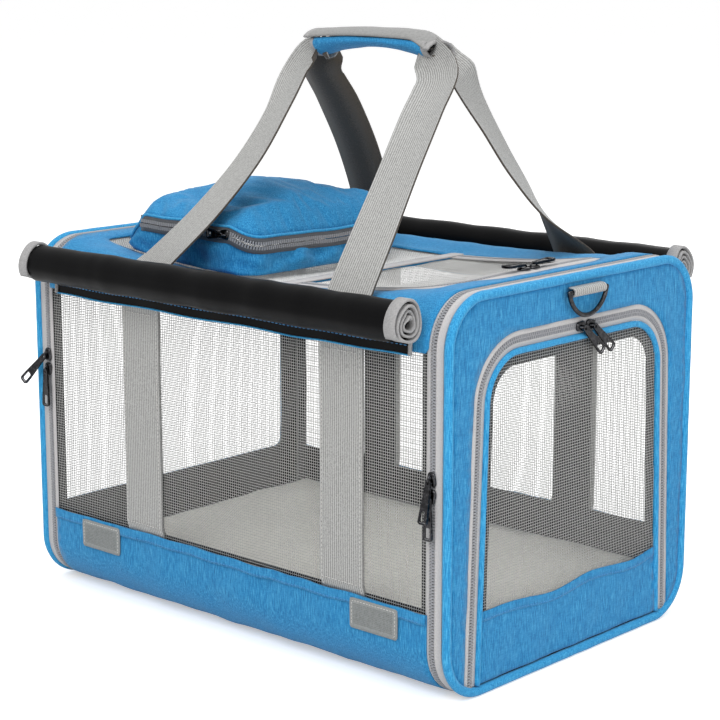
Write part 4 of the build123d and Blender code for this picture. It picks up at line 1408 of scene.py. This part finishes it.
def pull_piece(name, pivot, centre, out, body, replaces):
    """Pull tab: a flared bar with raised rims, an eye on the bridge and a window at its free end."""
    away = centre - pivot
    length = 2 * np.linalg.norm(away)
    end = length - 0.6

    def half(u):
        return 2.7 + 1.9 * smooth_step((u - 2) / (length - 4))

    side = [(u, half(u)) for u in np.linspace(1.2, end - 1.6, 9)]
    outline = ([(u, -v) for u, v in side] + [(end - 0.4, -half(end) + 1.0), (end, -half(end) + 2.0),
               (end, half(end) - 2.0), (end - 0.4, half(end) - 1.0)] + [(u, v) for u, v in reversed(side)]
               + [(-0.3, 1.9), (-1.0, 0.8), (-1.0, -0.8), (-0.3, -1.9)])
    eye = rounded_rect(0.1, 3.4, -1.3, 1.3, 1.1, 3)
    window = rounded_rect(end - 0.30 * length, end - 2.4, -half(end) + 2.1, half(end) - 2.1, 0.7, 3)

    def layer(suffix, loop, holes, low, high):
        flat, faces = fill(loop, holes, 1.3)
        n = len(flat)
        points = [(u, v, low) for u, v in flat] + [(u, v, high) for u, v in flat]
        quads = [tuple(reversed(f)) for f in faces.tolist()] + [tuple(c + n for c in f) for f in faces.tolist()]
        start = 0
        for ring in [loop] + list(holes):
            m = len(resample(ring, 1.3, True))
            quads += [(start + k, start + (k + 1) % m, n + start + (k + 1) % m, n + start + k) for k in range(m)]
            start += m
        return mesh_piece(name + suffix, placed(pivot, away, out, points), quads, GUNMETAL, body,
                          replaces if suffix == "" else (), smooth=False)

    plate = layer("", outline, [eye, window], -0.75, 0.75)
    plate.modifiers.new("edge", "BEVEL").width = 0.25 * MM
    inner = [(u, -v + 1.0) for u, v in side[1:]] + [(u, v - 1.0) for u, v in reversed(side[1:])]
    rim = layer("_rim", outline, [rounded_rect(0.0, 3.5, -1.35, 1.35, 1.1, 3), inner], -1.15, 1.15)
    rim.modifiers.new("edge", "BEVEL").width = 0.2 * MM
    bar = placed(pivot, away, out, [(end - 1.4, v, 0) for v in np.linspace(-half(end) + 1.6, half(end) - 1.6, 6)])
    sweep(name + "_bar", bar, np.tile(out, (6, 1)).astype(float), circle(1.0, 10), STEEL, body)


def zip_fittings():
    """Detailed sliders and pull tabs in the places of the CAD ones."""
    for name, out in FITTINGS.items():
        out = np.array(out, float)
        low, high = box_mm(f"{name}_slider")
        spot = (low + high) / 2
        spot += out * (min(low @ out, high @ out) - spot @ out)
        travel = np.array(JOINTS[f"{name}_slide"]["axis"], float)
        slider_piece(f"{name}_slider_body", spot, out, travel, f"{name}_slider", (f"{name}_slider",))
        pivot = np.array(JOINTS[f"{name}_pull_swing"]["pos_m"]) / MM
        low, high = box_mm(f"{name}_pull")
        pull_piece(f"{name}_pull_tab", pivot, (low + high) / 2, out, f"{name}_pull", (f"{name}_pull",))
    out = np.array((0, -1.0, 0))
    low, high = box_mm("pocket_slider")
    spot = np.array((high[0] - 5.75, high[1], (low[2] + high[2]) / 2))
    slider_piece("pocket_slider_body", spot, out, np.array((-1.0, 0, 0)), "pocket_slider", ("pocket_slider",))
    pivot = spot + out * 4.2
    pull_piece("pocket_slider_tab", pivot, pivot + np.array((-9.0, -0.6, 0)), out, "pocket_slider", ())


def finish_cad_nodes():
    """Materials of the CAD nodes that stay."""
    looks = {"hoop": STEEL, "ring": GUNMETAL, "board": BOARD}
    for name, item in frame["nodes"].items():
        for word, material in looks.items():
            if name.endswith(word):
                item.data.materials.clear()
                item.data.materials.append(material)


# ---------------------------------------------------------------- floor, light and camera
def studio():
    """Pale floor, soft light and the camera."""
    bpy.ops.mesh.primitive_plane_add(size=120, location=(0, 0, 0))
    floor = bpy.context.object
    floor.name = "studio_floor"
    material, tree, shader = new_material("pale_floor", roughness=0.9, specular=0.1)
    shader.inputs["Base Color"].default_value = (0.9, 0.9, 0.9, 1)
    shader.inputs["Emission Color"].default_value = (1, 1, 1, 1)
    seen = tree.nodes.new("ShaderNodeLightPath").outputs["Is Camera Ray"]
    tree.links.new(maths(tree, "MULTIPLY", seen, 0.44), shader.inputs["Emission Strength"])
    floor.data.materials.append(material)
    world = bpy.data.worlds.new("studio")
    bpy.context.scene.world = world
    world.use_nodes = True
    world.node_tree.nodes["Background"].inputs["Color"].default_value = (1, 1, 1, 1)
    seen = world.node_tree.nodes.new("ShaderNodeLightPath").outputs["Is Camera Ray"]
    strength = maths(world.node_tree, "MULTIPLY_ADD", seen, 0.36)
    world.node_tree.links.new(strength, world.node_tree.nodes["Background"].inputs["Strength"])
    strength.node.inputs[2].default_value = 0.62
    for name, spot, size, power in (("key", (0.9, -2.1, 2.2), 1.4, 36), ("fill", (2.4, -0.4, 1.2), 1.8, 15),
                                    ("rim", (-0.8, 2.2, 2.0), 1.6, 14), ("top", (0, 0, 3.0), 2.0, 26)):
        lamp = bpy.data.objects.new(name, bpy.data.lights.new(name, "AREA"))
        lamp.data.size = size
        lamp.data.energy = power
        lamp.location = spot
        lamp.rotation_euler = (Vector((0, 0, 0.2)) - Vector(spot)).to_track_quat("-Z", "Y").to_euler()
        bpy.context.scene.collection.objects.link(lamp)
    lens = bpy.data.cameras.new("camera")
    lens.lens = 99.36
    lens.sensor_width = 36
    camera = bpy.data.objects.new("camera", lens)
    azimuth, elevation = math.radians(42.5), math.radians(11.61)
    back = Vector((math.sin(azimuth) * math.cos(elevation), -math.cos(azimuth) * math.cos(elevation),
                   math.sin(elevation)))
    camera.location = (1.2167, -1.3219, 0.5947)
    camera.rotation_euler = (-back).to_track_quat("-Z", "Y").to_euler()
    bpy.context.scene.collection.objects.link(camera)
    bpy.context.scene.camera = camera
    bpy.context.scene.view_settings.view_transform = "Standard"


handles()
pocket()
floor_mat()
ring_loops()
zip_fittings()
finish_cad_nodes()
studio()
